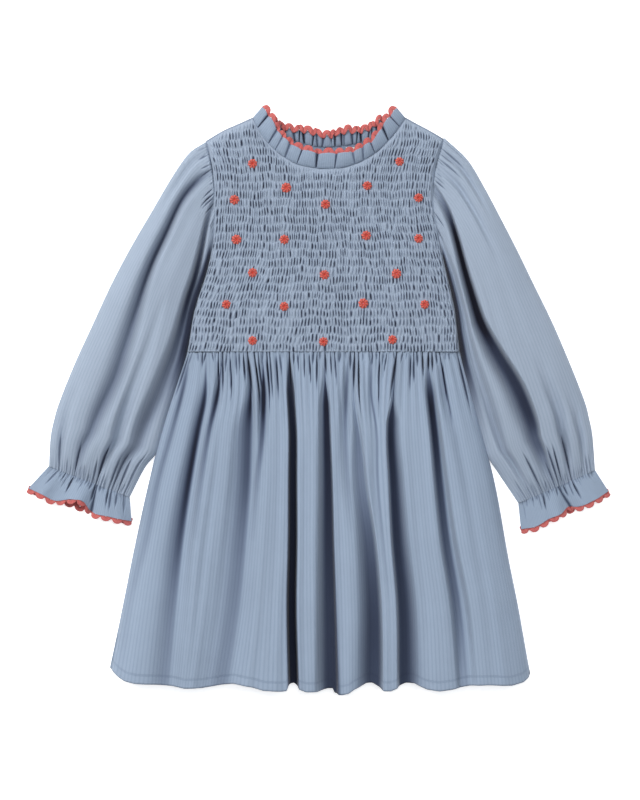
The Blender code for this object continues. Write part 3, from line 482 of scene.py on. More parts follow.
def bodice_height(x, y):
    """Top of the smocked front without its puckers."""
    left, right = side_edges(BODICE_SIDES, y)
    armhole = ease(y, 150, 178) * (1 - ease(y, 236, 256))
    side = Z_SEAM + ARMHOLE_LIFT * armhole
    height = side + (Z_FRONT - side) * dome(np.minimum(x - left, right - x), BODICE_ROUND)
    from_middle = np.abs(np.asarray(x, dtype=float) - NECK_MIDDLE_X)
    shoulder_line = SHOULDER_Y - SHOULDER_SLOPE * np.maximum(from_middle - NECK_HALF, 0)
    beyond_neck = ease(from_middle, 58, 86)
    drop = beyond_neck * (1 - dome(shoulder_line - y, SHOULDER_ROUND))
    low = Z_SEAM + 3.0 * (1 - ease(from_middle, 74, 92))
    return height - (height - np.minimum(low, height)) * drop


def across_places(count):
    """Places across a tube from 0 to 1, closer together near its edges."""
    even = np.arange(count) / (count - 1)
    return 0.55 * even + 0.45 * (0.5 - 0.5 * np.cos(math.pi * even))


def hand_direction(across):
    """Unit direction square to a section, towards the hand."""
    along = np.array([across[1], -across[0]]) / np.hypot(*across)
    return -along if along[1] > 0 else along


def unit(rows):
    return rows / np.linalg.norm(rows, axis=1)[:, None]


def reach_along(line):
    """Length along a line of points, from its start."""
    steps = np.linalg.norm(np.diff(line, axis=0), axis=1)
    return np.concatenate([[0], np.cumsum(steps)])


def path_points(table, count):
    """Evenly spaced x, y along the line through a table."""
    line = np.array(table, dtype=float)
    steps = reach_along(line)
    places = np.linspace(0, steps[-1], count)
    return np.stack([smooth_line(places, steps, line[:, k]) for k in range(2)], axis=1)


def half_table(table, low, high):
    """The part of a table between two x values, with new end rows where it is cut."""
    low = max(low, table[0][0])
    high = min(high, table[-1][0])
    ends = [(x, float(edge_line(table, x))) for x in (low, high)]
    return (ends[0], *(row for row in table if low + 0.5 < row[0] < high - 0.5), ends[1])


# Materials

class Maker:
    """Adds nodes to one material."""

    def __init__(self, name):
        self.material = bpy.data.materials.new(name)
        self.material.use_nodes = True
        self.tree = self.material.node_tree
        self.shader = self.tree.nodes["Principled BSDF"]

    def new(self, kind):
        return self.tree.nodes.new("ShaderNode" + kind)

    def feed(self, socket, value):
        if isinstance(value, bpy.types.NodeSocket):
            self.tree.links.new(value, socket)
        elif hasattr(value, "__len__") and len(value) == 3 and socket.type == "RGBA":
            socket.default_value = (*value, 1.0)
        else:
            socket.default_value = value

    def fill(self, node, *values):
        """The node, with its first inputs fed."""
        for socket, value in zip(node.inputs, values):
            self.feed(socket, value)
        return node

    def math(self, operation, *values, clamp=False):
        node = self.new("Math")
        node.operation = operation
        node.use_clamp = clamp
        return self.fill(node, *values).outputs[0]

    def times(self, a, b, clamp=False):
        return self.math("MULTIPLY", a, b, clamp=clamp)

    def plus(self, a, b, clamp=False):
        return self.math("ADD", a, b, clamp=clamp)

    def minus(self, a, b):
        return self.math("SUBTRACT", a, b)

    def scaled(self, value, factor, offset):
        return self.math("MULTIPLY_ADD", value, factor, offset)

    def threads(self, place, pitch):
        """A wave with one turn in each pitch."""
        return self.math("SINE", self.times(place, 2 * math.pi / pitch))

    def attribute(self, name):
        node = self.new("Attribute")
        node.attribute_name = name
        return node.outputs["Fac"]

    def uv(self):
        node = self.new("UVMap")
        node.uv_map = "cloth"
        split = self.fill(self.new("SeparateXYZ"), node.outputs[0])
        return split.outputs[0], split.outputs[1]

    def vector(self, x, y, z=0.0):
        return self.fill(self.new("CombineXYZ"), x, y, z).outputs[0]

    def noise(self, vector, scale, detail=2.0):
        node = self.new("TexNoise")
        for key, value in (("Vector", vector), ("Scale", scale), ("Detail", detail),
                           ("Roughness", 0.5)):
            self.feed(node.inputs[key], value)
        return node.outputs[0]

    def position(self):
        return self.new("TexCoord").outputs["Object"]

    def mix(self, share, a, b, blend="MIX"):
        node = self.new("Mix")
        node.data_type = "RGBA"
        node.blend_type = blend
        for index, value in ((0, share), (6, a), (7, b)):
            self.feed(node.inputs[index], value)
        return node.outputs[2]

    def bump(self, height, distance, strength):
        node = self.new("Bump")
        for key, value in (("Strength", strength), ("Distance", distance),
                           ("Height", height)):
            self.feed(node.inputs[key], value)
        return node.outputs[0]

    def finish(self, colour, roughness, sheen, normal, specular):
        for key, value in (("Base Color", colour), ("Roughness", roughness),
                           ("Specular IOR Level", specular), ("Sheen Weight", sheen),
                           ("Sheen Roughness", 0.45)):
            self.feed(self.shader.inputs[key], value)
        if normal is not None:
            self.feed(self.shader.inputs["Normal"], normal)
        return self.material


def cotton(name, light, stripe, stitch_at=None):
    """Woven cotton with a fine tonal stripe along its length, and painted shade in its hollows.
    """
    maker = Maker(name)
    times = maker.times
    plus = maker.plus
    u, v = maker.uv()
    wave = maker.scaled(maker.threads(u, STRIPE_PITCH), 0.5, 0.5)
    patchy = maker.noise(maker.vector(times(u, 420.0), times(v, 9.0)), 1.0)
    line = times(maker.math("POWER", wave, 2.2), maker.scaled(patchy, 0.9, 0.25))
    colour = maker.mix(times(line, 0.55, clamp=True), light, stripe)
    slub = maker.noise(maker.vector(times(u, 2600.0), times(v, 160.0)), 1.0)
    broad = maker.noise(maker.position(), 26.0)
    tone = plus(plus(times(slub, 0.10), times(broad, 0.10)), 0.90)
    colour = maker.mix(1.0, colour, maker.vector(tone, tone, tone), "MULTIPLY")
    weave = times(maker.threads(u, WARP_PITCH), maker.threads(v, WEFT_PITCH))
    height = plus(times(weave, 0.5), times(slub, 1.2))
    height = maker.minus(height, times(line, 0.8))
    if stitch_at is not None:
        away = maker.math("ABSOLUTE", maker.minus(v, stitch_at))
        dash = maker.math("GREATER_THAN", maker.threads(u, STITCH_PITCH), -0.55)
        thread = times(maker.math("LESS_THAN", away, 0.0006), dash)
        groove = maker.math("LESS_THAN", away, 0.0011)
        colour = maker.mix(times(groove, 0.45), colour, stripe)
        colour = maker.mix(times(thread, 0.25), colour, light)
        height = plus(maker.minus(height, times(groove, 1.4)), times(thread, 1.2))
    # Painted shade: towards navy, and near-black where the mark is highest
    deep = maker.attribute("deep")
    colour = maker.mix(times(deep, 0.955, clamp=True), colour, PAINTED_SHADE_NAVY)
    deepest = times(maker.math("POWER", deep, 4.0), 0.93, clamp=True)
    colour = maker.mix(deepest, colour, PAINTED_SHADE_BLACK)
    return maker.finish(colour, 0.9, 0.14, maker.bump(height, 0.00011, 0.9), 0.06)


def braid_material(name):
    """Matte rickrack, woven on the slant, paler and darker by its weave and at random."""
    maker = Maker(name)
    along, across = [maker.times(place, 2 * math.pi / pitch)
                     for place, pitch in zip(maker.uv(), BRAID_PITCHES)]
    weave = maker.times(maker.math("SINE", maker.plus(along, across)),
                        maker.math("SINE", maker.minus(along, across)))
    grain = maker.noise(maker.position(), 900.0, 3.0)
    shift = maker.plus(maker.times(weave, 0.28), maker.times(grain, 0.7), clamp=True)
    colour = maker.mix(shift, *BRAID_CORALS)
    normal = maker.bump(maker.plus(weave, grain), 0.00022, 0.9)
    return maker.finish(colour, 0.8, 0.2, normal, 0.25)


def thread_material(name):
    """Embroidery thread: coral on the coils and darker towards the middle, with painted shade
    between the coils and painted glints of shine.
    """
    maker = Maker(name)
    colour = maker.mix(maker.attribute("middle"), THREAD_CORAL, THREAD_MIDDLE)
    # Painted shade between the coils
    colour = maker.mix(maker.attribute("deep"), colour, THREAD_PAINTED_SHADE)
    # Painted glints of shine, scattered by noise
    grain = maker.noise(maker.position(), 1800.0)
    colour = maker.mix(maker.times(grain, 0.35), colour, THREAD_PAINTED_SHINE)
    return maker.finish(colour, 0.55, 0.15, maker.bump(grain, 0.00015, 0.7), 0.4)


def tape_material(name):
    """White woven tape."""
    maker = Maker(name)
    weave = maker.times(*[maker.threads(place, TAPE_PITCH) for place in maker.uv()])
    colour = maker.mix(maker.scaled(weave, 0.5, 0.5), *TAPE_WHITES)
    return maker.finish(colour, 0.7, 0.1, maker.bump(weave, 0.0001, 0.8), 0.3)


# Meshes

def grid_piece(node, kind, points, uv, material, slot, closed=False, **marks):
    """A piece over a grid of points; uv has one more column than points where it is closed."""
    points = np.array(points, dtype=float)
    points[..., 2] = np.maximum(points[..., 2], 0.0)
    rows, columns = points.shape[:2]
    number = np.arange(rows * columns).reshape(rows, columns)
    if closed:
        number = np.concatenate([number, number[:, :1]], axis=1)
    faces, corners = [np.stack([grid[:-1, :-1], grid[:-1, 1:], grid[1:, 1:], grid[1:, :-1]],
                               axis=2) for grid in (number, uv)]
    faces = faces.reshape(-1, 4)
    corners = corners.reshape(-1, 4, 2)
    spots = points.reshape(-1, 3)
    first = spots[faces[:, 0]]
    turn = np.cross(spots[faces[:, 1]] - first, spots[faces[:, 3]] - first)
    if turn[:, 2].sum() < 0 and not closed:
        faces = faces[:, ::-1]
        corners = corners[:, ::-1]
    name = f"{node}_{kind}"
    mesh = bpy.data.meshes.new(name)
    mesh.from_pydata((spots * MM).tolist(), [], faces.tolist())
    layer = mesh.uv_layers.new(name="cloth")
    layer.data.foreach_set("uv", (corners * MM).reshape(-1).astype(np.float32))
    for key, value in {"deep": np.zeros(rows * columns), **marks}.items():
        mark = mesh.attributes.new(key, "FLOAT", "POINT")
        mark.data.foreach_set("value", np.asarray(value).reshape(-1).astype(np.float32))
    mesh.shade_smooth()
    mesh.materials.append(material)
    piece = bpy.data.objects.new(name, mesh)
    bpy.context.scene.collection.objects.link(piece)
    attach(piece, "root")
    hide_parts(node)
    return piece


def cloth_uv(points, u, zero=None, closed=False):
    """Place of each point on its flat cloth: u across, and the length along its column.

    The length starts at the first row, or counts back to 0 at the row named zero.
    """
    steps = np.linalg.norm(np.diff(points, axis=0), axis=-1)
    v = np.concatenate([np.zeros((1, points.shape[1])), np.cumsum(steps, axis=0)])
    if zero is not None:
        v = v[zero][None] - v
    if closed:
        v = np.concatenate([v, v[:, :1]], axis=1)
    return np.stack([np.broadcast_to(u, v.shape), v], axis=-1)


def with_rims(points, marks, rim_z):
    """The grid with one more column on either side, at the level that rim_z gives."""
    rims = []
    for side, out in ((0, -0.1), (-1, 0.1)):
        rim = points[:, side].copy()
        rim[:, 2] = rim_z(rim[:, 2])
        rim[:, 0] += out
        rims.append(rim[:, None])
    points = np.concatenate([rims[0], points, rims[1]], axis=1)
    return points, np.concatenate([marks[:, :1], marks, marks[:, -1:]], axis=1)


def slits(place, distance, count, low, high, lengths, widths, seed, drift=0.4):
    """Uneven gathers: teardrop valleys from a seam, with random lengths and widths."""
    rng = np.random.default_rng(seed)
    total = np.zeros(np.broadcast(place, distance).shape)
    step = (high - low) / count
    for k in range(count):
        centre = low + (k + 0.5 + rng.uniform(-0.3, 0.3)) * step
        pick = rng.uniform() ** 2.2
        strength = 0.3 + 0.85 * pick ** 0.5 + rng.uniform(-0.15, 0.2)
        wander = rng.uniform(-drift, drift) * step
        width = between(widths, 0.6 * pick ** 0.5 + 0.4 * rng.uniform()) * step
        run = np.clip(distance / between(lengths, pick), 0, 1.4)
        wide = width * (0.5 + 1.0 * ease(run, 0, 0.35)) * (1 - 0.85 * ease(run, 0.35, 1.05))
        stays = 1 - ease(run, 0.55, 1.05)
        total = total + strength * stays * bell((place - centre - wander * run) / wide, 3)
    return total


# Skirt

def skirt_places():
    """Places across the skirt's cloth, closer together in its deep folds and at its sides."""
    fine = np.linspace(0, SKIRT_CLOTH, 4001)
    density = np.ones_like(fine)
    crowded = [(fold["column"], 1.6, 1.8) for fold in FOLDS if fold["column"] is not None]
    for middle, more, width in (*crowded, (0.0, 1.5, 1.5), (SKIRT_CLOTH, 1.5, 1.5)):
        density += more * bell((fine - middle) / width)
    reach = np.cumsum(density)
    reach = (reach - reach[0]) / (reach[-1] - reach[0])
    return np.interp(np.linspace(0, 1, SKIRT_COLUMNS), reach, fine)


def fold_line(fold, y):
    """X of a fold's middle at height y."""
    shift = fold.get("shift", (0,) * len(FOLD_Y))
    return smooth_line(y, FOLD_Y, fold["x"]) + smooth_line(y, FOLD_Y, shift)


def skirt_x(place, y):
    """X of each place of the cloth at height y, guided by the long folds."""
    left, right = side_edges(SKIRT_SIDES, y)
    down = (WAIST_Y - y) / (WAIST_Y - HEM_Y)
    knots = [0.0]
    xs = [float(left)]
    for fold in FOLDS:
        if fold["column"] is not None:
            middle = float(fold_line(fold, y))
            knots += [fold["column"] + step for step in (-1, 0, 1)]
            xs += [middle - min(between(fold["left"], down), 9.0), middle,
                   middle + min(between(fold["right"], down), 9.0)]
    return np.interp(place, knots + [SKIRT_CLOTH], xs + [float(right)])


def fine_valley(fold, x, y):
    """How far a fold brings the cloth down, and how much shade is painted there."""
    away = x - fold_line(fold, y)
    down = (WAIST_Y - y) / (WAIST_Y - HEM_Y)
    left_power, right_power, dark, falls, left_core, right_core = fold["look"]
    power = np.where(away < 0, left_power, right_power)
    start = 1 - ease(y, WAIST_Y - 16, WAIST_Y - 2) * 0.8
    depth = np.clip(smooth_line(y, FOLD_Y, fold["depth"]) * start, 0, 1)
    opens = ease(WAIST_Y - y, *fold.get("opens", (0, 30)))
    core = np.where(away < 0, between(left_core, down), between(right_core, down))
    core = core * (0.14 + 0.86 * opens)
    width = np.where(away < 0, between(fold["left"], down), between(fold["right"], down))
    width = width * (0.4 + 0.6 * opens)
    dark = dark * depth ** falls * np.exp(-0.7 * np.abs(away / core) ** power)
    return depth * np.exp(-0.9 * np.abs(away / width) ** power), dark


def skirt_surface(place, x, y):
    """Height of the skirt front, and how much shade is painted on each point of its folds and
    gathers.
    """
    crest = smooth_line(y, FOLD_Y, CREST)
    stays = np.ones_like(x)
    deep = np.zeros_like(x)
    for fold in FOLDS:
        valley, dark = fine_valley(fold, x, y)
        stays = stays * (1 - valley)
        deep = np.maximum(deep, np.clip(dark, 0, 1))
    height = FOLD_FLOOR + (crest - FOLD_FLOOR) * stays
    down = WAIST_Y - y
    gather = slits(place, down, WAIST_SLITS, 0.0, SKIRT_CLOTH, (9, 80), (0.09, 0.17), 5, 0.6)
    fade = 1 - ease(down, 10, 100)
    puff = np.cos(2 * math.pi * GATHERS * place / SKIRT_CLOTH)
    height = height + 0.8 * fade * puff + 0.7 * fade - SLIT_DEPTH * gather * stays ** 0.5
    wave = sum(high * np.sin(place * turn + start + drift * down)
               for high, turn, start, drift in SKIRT_WAVES)
    spread = np.clip(np.gradient(x, place, axis=-1) / 4.5, 0, 1) ** 1.5
    height = height + 0.8 * ease(down, 25, 120) * wave * stays * spread
    left, right = side_edges(SKIRT_SIDES, y)
    rim = dome(np.minimum(x - left, right - x), SIDE_ROUND)
    # Painted shade in the gathers below the waist seam
    deep = np.maximum(deep, np.clip(1.2 * gather, 0, 1) * fade ** 0.35)
    return Z_SEAM + (height - Z_SEAM) * rim, deep * np.clip(rim * 2, 0, 1)


def skirt_front(material):
    place = skirt_places()
    low = WAIST_Y - SEAM / 2
    rows = []
    marks = []
    for down in np.linspace(0, 1, SKIRT_ROWS) ** 1.12:
        x = skirt_x(place, low + (HEM_Y - low) * down)
        y = low + (edge_line(HEM_LINE, x) - low) * down
        height, deep = skirt_surface(place, x, y)
        rows.append(np.column_stack([x, y, height]))
        marks.append(deep)
    tucked = rows[0] + [0.0, 1.3, -2.4]
    turned = rows[-1] + [0.0, 0.3, -0.7]
    under = rows[-8] + [0.0, 0.0, -1.1]
    points, marks = with_rims(np.array([tucked, *rows, turned, under]),
                              np.array([marks[0], *marks, marks[-1], marks[-1]]),
                              lambda z: RIM_Z)
    uv = cloth_uv(points, reach_along(points[int(0.62 * len(points))]), zero=SKIRT_ROWS)
    return grid_piece("skirt_front", "cloth", points, uv, material, "blue_cotton", deep=marks)


def skirt_back(material):
    columns, rows = SKIRT_BACK_GRID
    low = WAIST_Y - SEAM / 2
    share = np.linspace(0, 1, columns)
    inside = ease(share, 0, 0.02) * (1 - ease(share, 0.98, 1.0))
    grid = []
    for down in np.linspace(0, 1, rows):
        x = between(side_edges(SKIRT_SIDES, low + (HEM_Y - low) * down), share)
        y = low + (np.maximum(edge_line(HEM_LINE, x) + BACK_HEM_INSET, HEM_Y) - low) * down
        ripple = np.sin(share * 88 + 0.8 * down) * (1 - 0.55 * down)
        ripple += 0.6 * np.sin(share * 31 - 1.4 * down)
        grid.append(np.column_stack([x, y, BACK_Z + 0.27 * ripple * inside]))
    points = np.array(grid)
    uv = cloth_uv(points, share * SKIRT_CUT, zero=-1)
    return grid_piece("skirt_back", "cloth", points, uv, material, "blue_cotton")


# Bodice

def smock_relief(share, y, to_edge):
    """Height of the puckers, how much shade is painted in a slit at each point, and the elastic
    rows.
    """
    rng = np.random.default_rng(3)
    cells = (SMOCK_BANDS, PUCKERS + 4)
    bends = (SMOCK_BANDS, SMOCK_KNOTS)
    waver = 0.12 * np.sin(share * 29 + y * 0.045) + 0.08 * np.sin(share * 71 - y * 0.03)
    band_at = (y - WAIST_Y) / SMOCK_BAND + waver
    band = np.clip(np.floor(band_at).astype(int), 0, SMOCK_BANDS - 1)
    within = band_at - np.floor(band_at)
    base_phase = np.cumsum(rng.uniform(-0.28, 0.28, SMOCK_BANDS))
    wobble = rng.uniform(-0.55, 0.55, bends)
    size = rng.uniform(0.45, 1.3, cells)
    cut = rng.uniform(0.0, 1.0, cells) ** 0.8
    lean = rng.uniform(-0.4, 0.4, bends)
    off = rng.uniform(-0.16, 0.16, cells)
    half = rng.uniform(0.28, 0.60, cells)
    at = share * (SMOCK_KNOTS - 1)
    i = np.clip(np.floor(at).astype(int), 0, SMOCK_KNOTS - 2)
    t = at - i
    t = t * t * (3 - 2 * t)
    shift, tilt = [table[band, i] * (1 - t) + table[band, i + 1] * t
                   for table in (wobble, lean)]
    count = share * PUCKERS + base_phase[band] + shift + tilt * (within - 0.5)
    cell = band, np.clip(np.floor(count + 1).astype(int), 0, PUCKERS + 3)
    edge = band, np.clip(np.round(count + 1).astype(int), 0, PUCKERS + 3)
    groove = np.abs(2 * (count - np.floor(count)) - 1) ** 3.0
    puff = np.clip(np.sin(math.pi * within), 0, 1) ** 0.65
    calm = ease(to_edge, 1.5, PLAIN_STRIP)
    depth = 0.35 + 0.85 * cut[edge]
    height = (1.2 * size[cell] * (1 - groove) - 2.8 * depth * groove) * puff * calm
    height = height + (1.2 + 0.15 * puff) * calm
    window = np.clip(1 - (np.abs(within - 0.5 - off[edge]) / half[edge]) ** 3, 0, 1)
    # Painted shade in the slits between the puckers
    slit = 1.75 * groove ** 0.72 * window * calm * cut[edge] ** 0.9
    row = bell((within - np.round(within)) * SMOCK_BAND / 0.6) * calm
    return height, np.clip(slit, 0, 1), row


def bodice_front(material):
    share = np.linspace(0, 1, BODICE_COLUMNS)
    low = WAIST_Y + SEAM / 2
    top = np.full_like(share, SHOULDER_TIP_Y)
    for _ in range(12):
        top = edge_line(FRONT_TOP, between(side_edges(BODICE_SIDES, top), share))
    rows = []
    marks = []
    for down in np.linspace(0, 1, BODICE_ROWS):
        y = low + (top - low) * down
        left, right = side_edges(BODICE_SIDES, y)
        x = left + share * (right - left)
        to_edge = np.minimum(top - y, 3.0 * np.minimum(x - left, right - x))
        relief, slit, row = smock_relief(share, y, to_edge)
        seam = bell(top - y - 0.6)
        rows.append(np.column_stack([x, y, bodice_height(x, y) + relief - 0.7 * seam]))
        # Painted shade in the slits, faint along the elastic rows, and along the neck seam
        # under the frill
        marks.append(np.clip(0.95 * slit + 0.05 * row + 0.55 * seam, 0, 1))
    closing = rows[-1].copy()
    shoulder = np.abs(closing[:, 0] - NECK_MIDDLE_X) > NECK_HALF - 7
    closing[:, 2] = np.where(shoulder, BACK_Z - 0.1, closing[:, 2] - 0.8)
    closing[:, 1] += 0.1
    points, marks = with_rims(np.array([*rows, closing]), np.array([*marks, marks[-1]]),
                              lambda z: np.minimum(z - 0.5, RIM_Z))
    uv = cloth_uv(points, np.concatenate([[0], share * BODICE_CUT, [BODICE_CUT + 0.5]]))
    return grid_piece("bodice_front", "cloth", points, uv, material, "smocked_cotton",
                      deep=marks)


def bodice_back(name, from_x, to_x, material):
    columns, rows = BODICE_BACK_GRID
    share = np.linspace(0, 1, columns)
    low = WAIST_Y + SEAM / 2
    grid = []
    for down in np.linspace(0, 1, rows):
        top = np.full_like(share, SHOULDER_TIP_Y)
        for _ in range(14):
            y = low + (top - low) * down
            left, right = side_edges(BODICE_SIDES, y)
            start = left if from_x is None else np.full_like(y, from_x)
            stop = right if to_x is None else np.full_like(y, to_x)
            x = start + (stop - start) * share
            top = edge_line(BACK_TOP, x)
        ripple = np.sin(x / 3.4 + 0.7 * np.sin(y / 17))
        ripple = ripple * np.sin(math.pi * (y - low) / SMOCK_BAND)
        edge = np.minimum(np.minimum(x - start, stop - x), top - y)
        under = 0.0 if from_x is None else 0.3 * (x < from_x + PLACKET)
        grid.append(np.column_stack([x, y, BACK_Z + 0.3 * ripple * ease(edge, 1, 6) - under]))
    points = np.array(grid)
    # Painted shade inside the neck opening
    to_neck = NECK_HALF - np.abs(points[:, :, 0] - NECK_MIDDLE_X)
    shade = 0.36 * ease(to_neck, 0, 8) * ease(points[:, :, 1], 180, 215)
    uv = cloth_uv(points, share * float(np.ptp(points[0, :, 0])) * 1.9)
    return grid_piece(name, "cloth", points, uv, material, "blue_cotton", deep=shade)


# Sleeves and cuffs

def tube_round(place):
    """Height across a tube that lies flat, from 0 at its edges to 1 on its middle."""
    return (1 - np.abs(2 * place - 1) ** 2.6) ** 0.62


def tube_loop(outer_end, inner_end, bow, heights, edge_height, under_points):
    """One loop round a tube that lies flat."""
    across = inner_end - outer_end
    count = len(heights)
    places = np.concatenate([across_places(count), np.linspace(1.0, 0.0, under_points)])
    zs = np.concatenate([np.maximum(heights, 0.9), np.full(under_points, 0.3)])
    zs[[0, count - 1]] = edge_height
    margin = np.zeros(len(places))
    margin[count:] = EDGE_ROUND / float(np.hypot(*across))
    shares = np.clip(places, margin, 1 - margin)
    plan = outer_end + shares[:, None] * across
    plan = plan + (4 * shares * (1 - shares) * bow)[:, None] * hand_direction(across)
    return np.column_stack([plan, zs])


def seam_slits(place, distance, gathers, seed):
    """Slits from a seam across a tube, whose distance is the same at every place."""
    count, margin, lengths, widths = gathers
    distance = np.full_like(place, distance)
    return slits(place, distance, count, margin, 1 - margin, lengths, widths, seed)


def crinkle(place, distance, seed):
    """Short fine puckers beside the elastic; the same value also sets their painted shade."""
    turn = 2 * math.pi * 29 * place + 4.0 * np.sin(19 * place + seed)
    return (0.5 + 0.5 * np.sin(turn)) ** 2 * math.exp(-distance ** 2)


def sleeve(name, table, material, seed):
    sections = table["sections"]
    side = table["side"]
    last = len(sections) - 1
    at = np.linspace(0, last, SLEEVE_ROWS)

    def line(values):
        return smooth_line(at, np.arange(last + 1), values)

    inner_xs = [sleeve_edge(y, side) if x is None else x for _, _, x, y, _, _ in sections]
    outer = np.stack([line([section[k] for section in sections]) for k in (0, 1)], axis=1)
    inner = np.stack([line(inner_xs), line([section[3] for section in sections])], axis=1)
    for spot in inner:
        edge = sleeve_edge(spot[1], side)
        spot[0] = min(spot[0], edge) if side == 1 else max(spot[0], edge)
    tall, bow = [line([section[k] for section in sections]) for k in (4, 5)]
    place = across_places(TUBE_TOP)
    middle = np.sin(math.pi * place) ** 0.5
    folds = [(line(places), np.clip(line(depths), 0, 1), width, look)
             for places, depths, width, look in table["folds"]]
    rows = []
    marks = []
    for row, station in enumerate(at):
        edge = min(4.0, 0.4 * tall[row])
        swell = 0.85 + 0.4 * math.exp(-((station - 7) / 1.8) ** 2)
        stays = np.ones_like(place)
        deep = np.zeros_like(place)
        for middles, depths, width, look in folds:
            left_power, right_power, left_width, right_width, dark, keeps = look
            away = place - middles[row]
            power = np.where(away < 0, left_power, right_power)
            away = away / (width * swell * np.where(away < 0, left_width, right_width))
            valley = np.clip(depths[row] * 1.35, 0, 0.94) * bell(away, power)
            stays = stays * (1 - keeps * valley)
            # Painted shade in the folds' hollows
            deep = np.maximum(deep, dark * np.clip(valley * 1.1, 0, 1) ** 1.9)
        # Painted shade beside the body
        dark, start = table["beside"]
        beside = ease(station, 0.2, 1.4) * (1 - ease(station, 5.5, 8.5))
        deep = np.maximum(deep, dark * beside * ease(place, start, 0.35 * start + 0.65))
        cap = seam_slits(place, station, CAP_GATHERS, seed)
        wrist = seam_slits(place, last - station, WRIST_GATHERS, seed + 1)
        fine = crinkle(place, (last - station) / 0.4, seed)
        soft = np.sin(place * 17 + station * 0.55 + seed) + 0.6 * np.sin(place * 29 - station)
        heights = edge + (tall[row] - edge) * tube_round(place) * stays
        heights = heights + 0.4 * soft * middle * stays
        heights = heights - (1.8 * cap + 3.0 * wrist + 1.1 * fine) * middle
        rows.append(tube_loop(outer[row], inner[row], bow[row], heights, edge, TUBE_UNDER))
        # Painted shade in the gathers at the cap and at the wrist, and in the fine puckers
        gathers = np.clip(np.maximum(0.95 * cap, wrist), 0, 1) ** 1.3
        deep = np.maximum(deep, 0.9 * np.maximum(gathers, 0.6 * fine) * middle)
        marks.append(np.concatenate([deep, np.zeros(TUBE_UNDER)]))
    tucked = rows[0] - (rows[1] - rows[0]) * 2.0
    tucked[:TUBE_TOP, 2] = np.minimum(rows[0][:TUBE_TOP, 2] * 0.4, 2.2)
    points = np.array([tucked, *rows])
    spot = points[int(0.55 * SLEEVE_ROWS)]
    uv = cloth_uv(points, reach_along(np.vstack([spot, spot[:1]])), closed=True)
    return grid_piece(name, "cloth", points, uv, material, "blue_cotton", closed=True,
                      deep=np.array([marks[0], *marks]))


def cuff(name, table, shape, material, seed):
    """A cuff frill, its free edge and its direction towards the hand."""
    wrist = table["sections"][-1]
    start = np.array([wrist[0:2], wrist[2:4]])
    stop = np.array([shape["outer"], shape["inner"]])
    along = hand_direction(start[1] - start[0])
    start = start - along * CUFF_TUCK
    place = across_places(TUBE_TOP)
    middle = np.sin(math.pi * place) ** 0.5
    lifted = smooth_line(place, *zip(*shape["lifts"]))
    gathered = np.maximum(wrist[4] * tube_round(place), 3.6)
    shares = np.concatenate([place, np.linspace(1.0, 0.0, CUFF_UNDER)])
    reach = smooth_line(shares, *zip(*shape["waves"]))
    reach[TUBE_TOP:] *= -0.3
    rows = []
    marks = []
    for down in np.linspace(0, 1, CUFF_ROWS):
        lines = seam_slits(place, down * 2.2, WRIST_GATHERS, seed + 1)
        lines = lines + 0.8 * seam_slits(place, down, CUFF_GATHERS, seed + 2)
        beside = (place - between(shape["pleat"], down)) / (0.008 + 0.010 * down)
        lines = np.maximum(lines, 1.1 * bell(beside, 2.5))
        fine = crinkle(place, down / 0.16, seed)
        heights = gathered + (lifted - gathered) * down ** 0.7
        heights = heights - (2.4 * lines + 1.1 * fine) * middle
        heights = heights + 0.5 * down * np.sin(place * 41 + seed) * middle
        loop = tube_loop(*(start + (stop - start) * down), 0.0, heights, 4.0, CUFF_UNDER)
        loop[:, :2] += (reach * down)[:, None] * along
        loop[TUBE_TOP:, 2] += 0.3
        rows.append(loop)
        # Painted shade in the gathers and in the deep pleat
        deep = np.maximum(0.8 * np.clip(lines, 0, 1) ** 1.3, 0.6 * fine) * middle
        marks.append(np.concatenate([deep, np.zeros(CUFF_UNDER)]))
    points = np.array(rows)
    u = np.linspace(0, CUFF_CUT, points.shape[1] + 1)
    piece = grid_piece(name, "cloth", points, cloth_uv(points, u, zero=-1, closed=True),
                       material, "blue_cotton", closed=True, deep=np.array(marks))
    return piece, points[-1], along


# Rickrack

def rickrack(name, path, out, material, centre, phase=0.0, closed=False):
    """A wavy woven strand that follows a path; out points away from the cloth's edge."""
    if closed:
        path = np.vstack([path, path[:1]])
        out = np.vstack([out, out[:1]])
    reach = reach_along(path)
    waves = max(2, round(reach[-1] / BRAID_PITCH))
    count = waves * BRAID_STEPS + (0 if closed else 1)
    at = np.linspace(0, reach[-1], count, endpoint=not closed)
    spot, away = [np.stack([np.interp(at, reach, line[:, k]) for k in range(3)], axis=1)
                  for line in (path, out)]
    away = unit(away)
    if closed:
        ahead = np.roll(spot, -1, axis=0) - np.roll(spot, 1, axis=0)
    else:
        ahead = np.gradient(spot, axis=0)
    ahead = unit(ahead)
    up = unit(np.cross(ahead, away))
    turn = 2 * math.pi * waves * at / reach[-1] + phase
    wave = np.sin(turn) + 0.12 * np.sin(3 * turn)
    middle = spot + away * (centre + BRAID_WAVE * wave)[:, None]
    slope = 2 * math.pi * waves / reach[-1] * BRAID_WAVE * np.cos(turn)
    side = unit(away - ahead * slope[:, None])
    ring = np.linspace(0, 2 * math.pi, 12, endpoint=False)
    flat = np.sign(np.cos(ring)) * np.abs(np.cos(ring)) ** 0.75 * BRAID_STRAND / 2
    tall = np.sign(np.sin(ring)) * np.abs(np.sin(ring)) ** 0.8 * BRAID_THICK / 2
    points = (middle[:, None] + side[:, None] * flat[None, :, None]
              + up[:, None] * tall[None, :, None])
    if closed:
        points = np.concatenate([points, points[:1]])
        at = np.concatenate([at, [reach[-1]]])
    around = np.linspace(0, 2 * BRAID_STRAND, len(ring) + 1)
    uv = np.stack(np.broadcast_arrays(at[:, None], around[None]), axis=-1)
    return grid_piece(name, "braid", points, uv, material, "coral_braid", closed=True)


# Neck frills

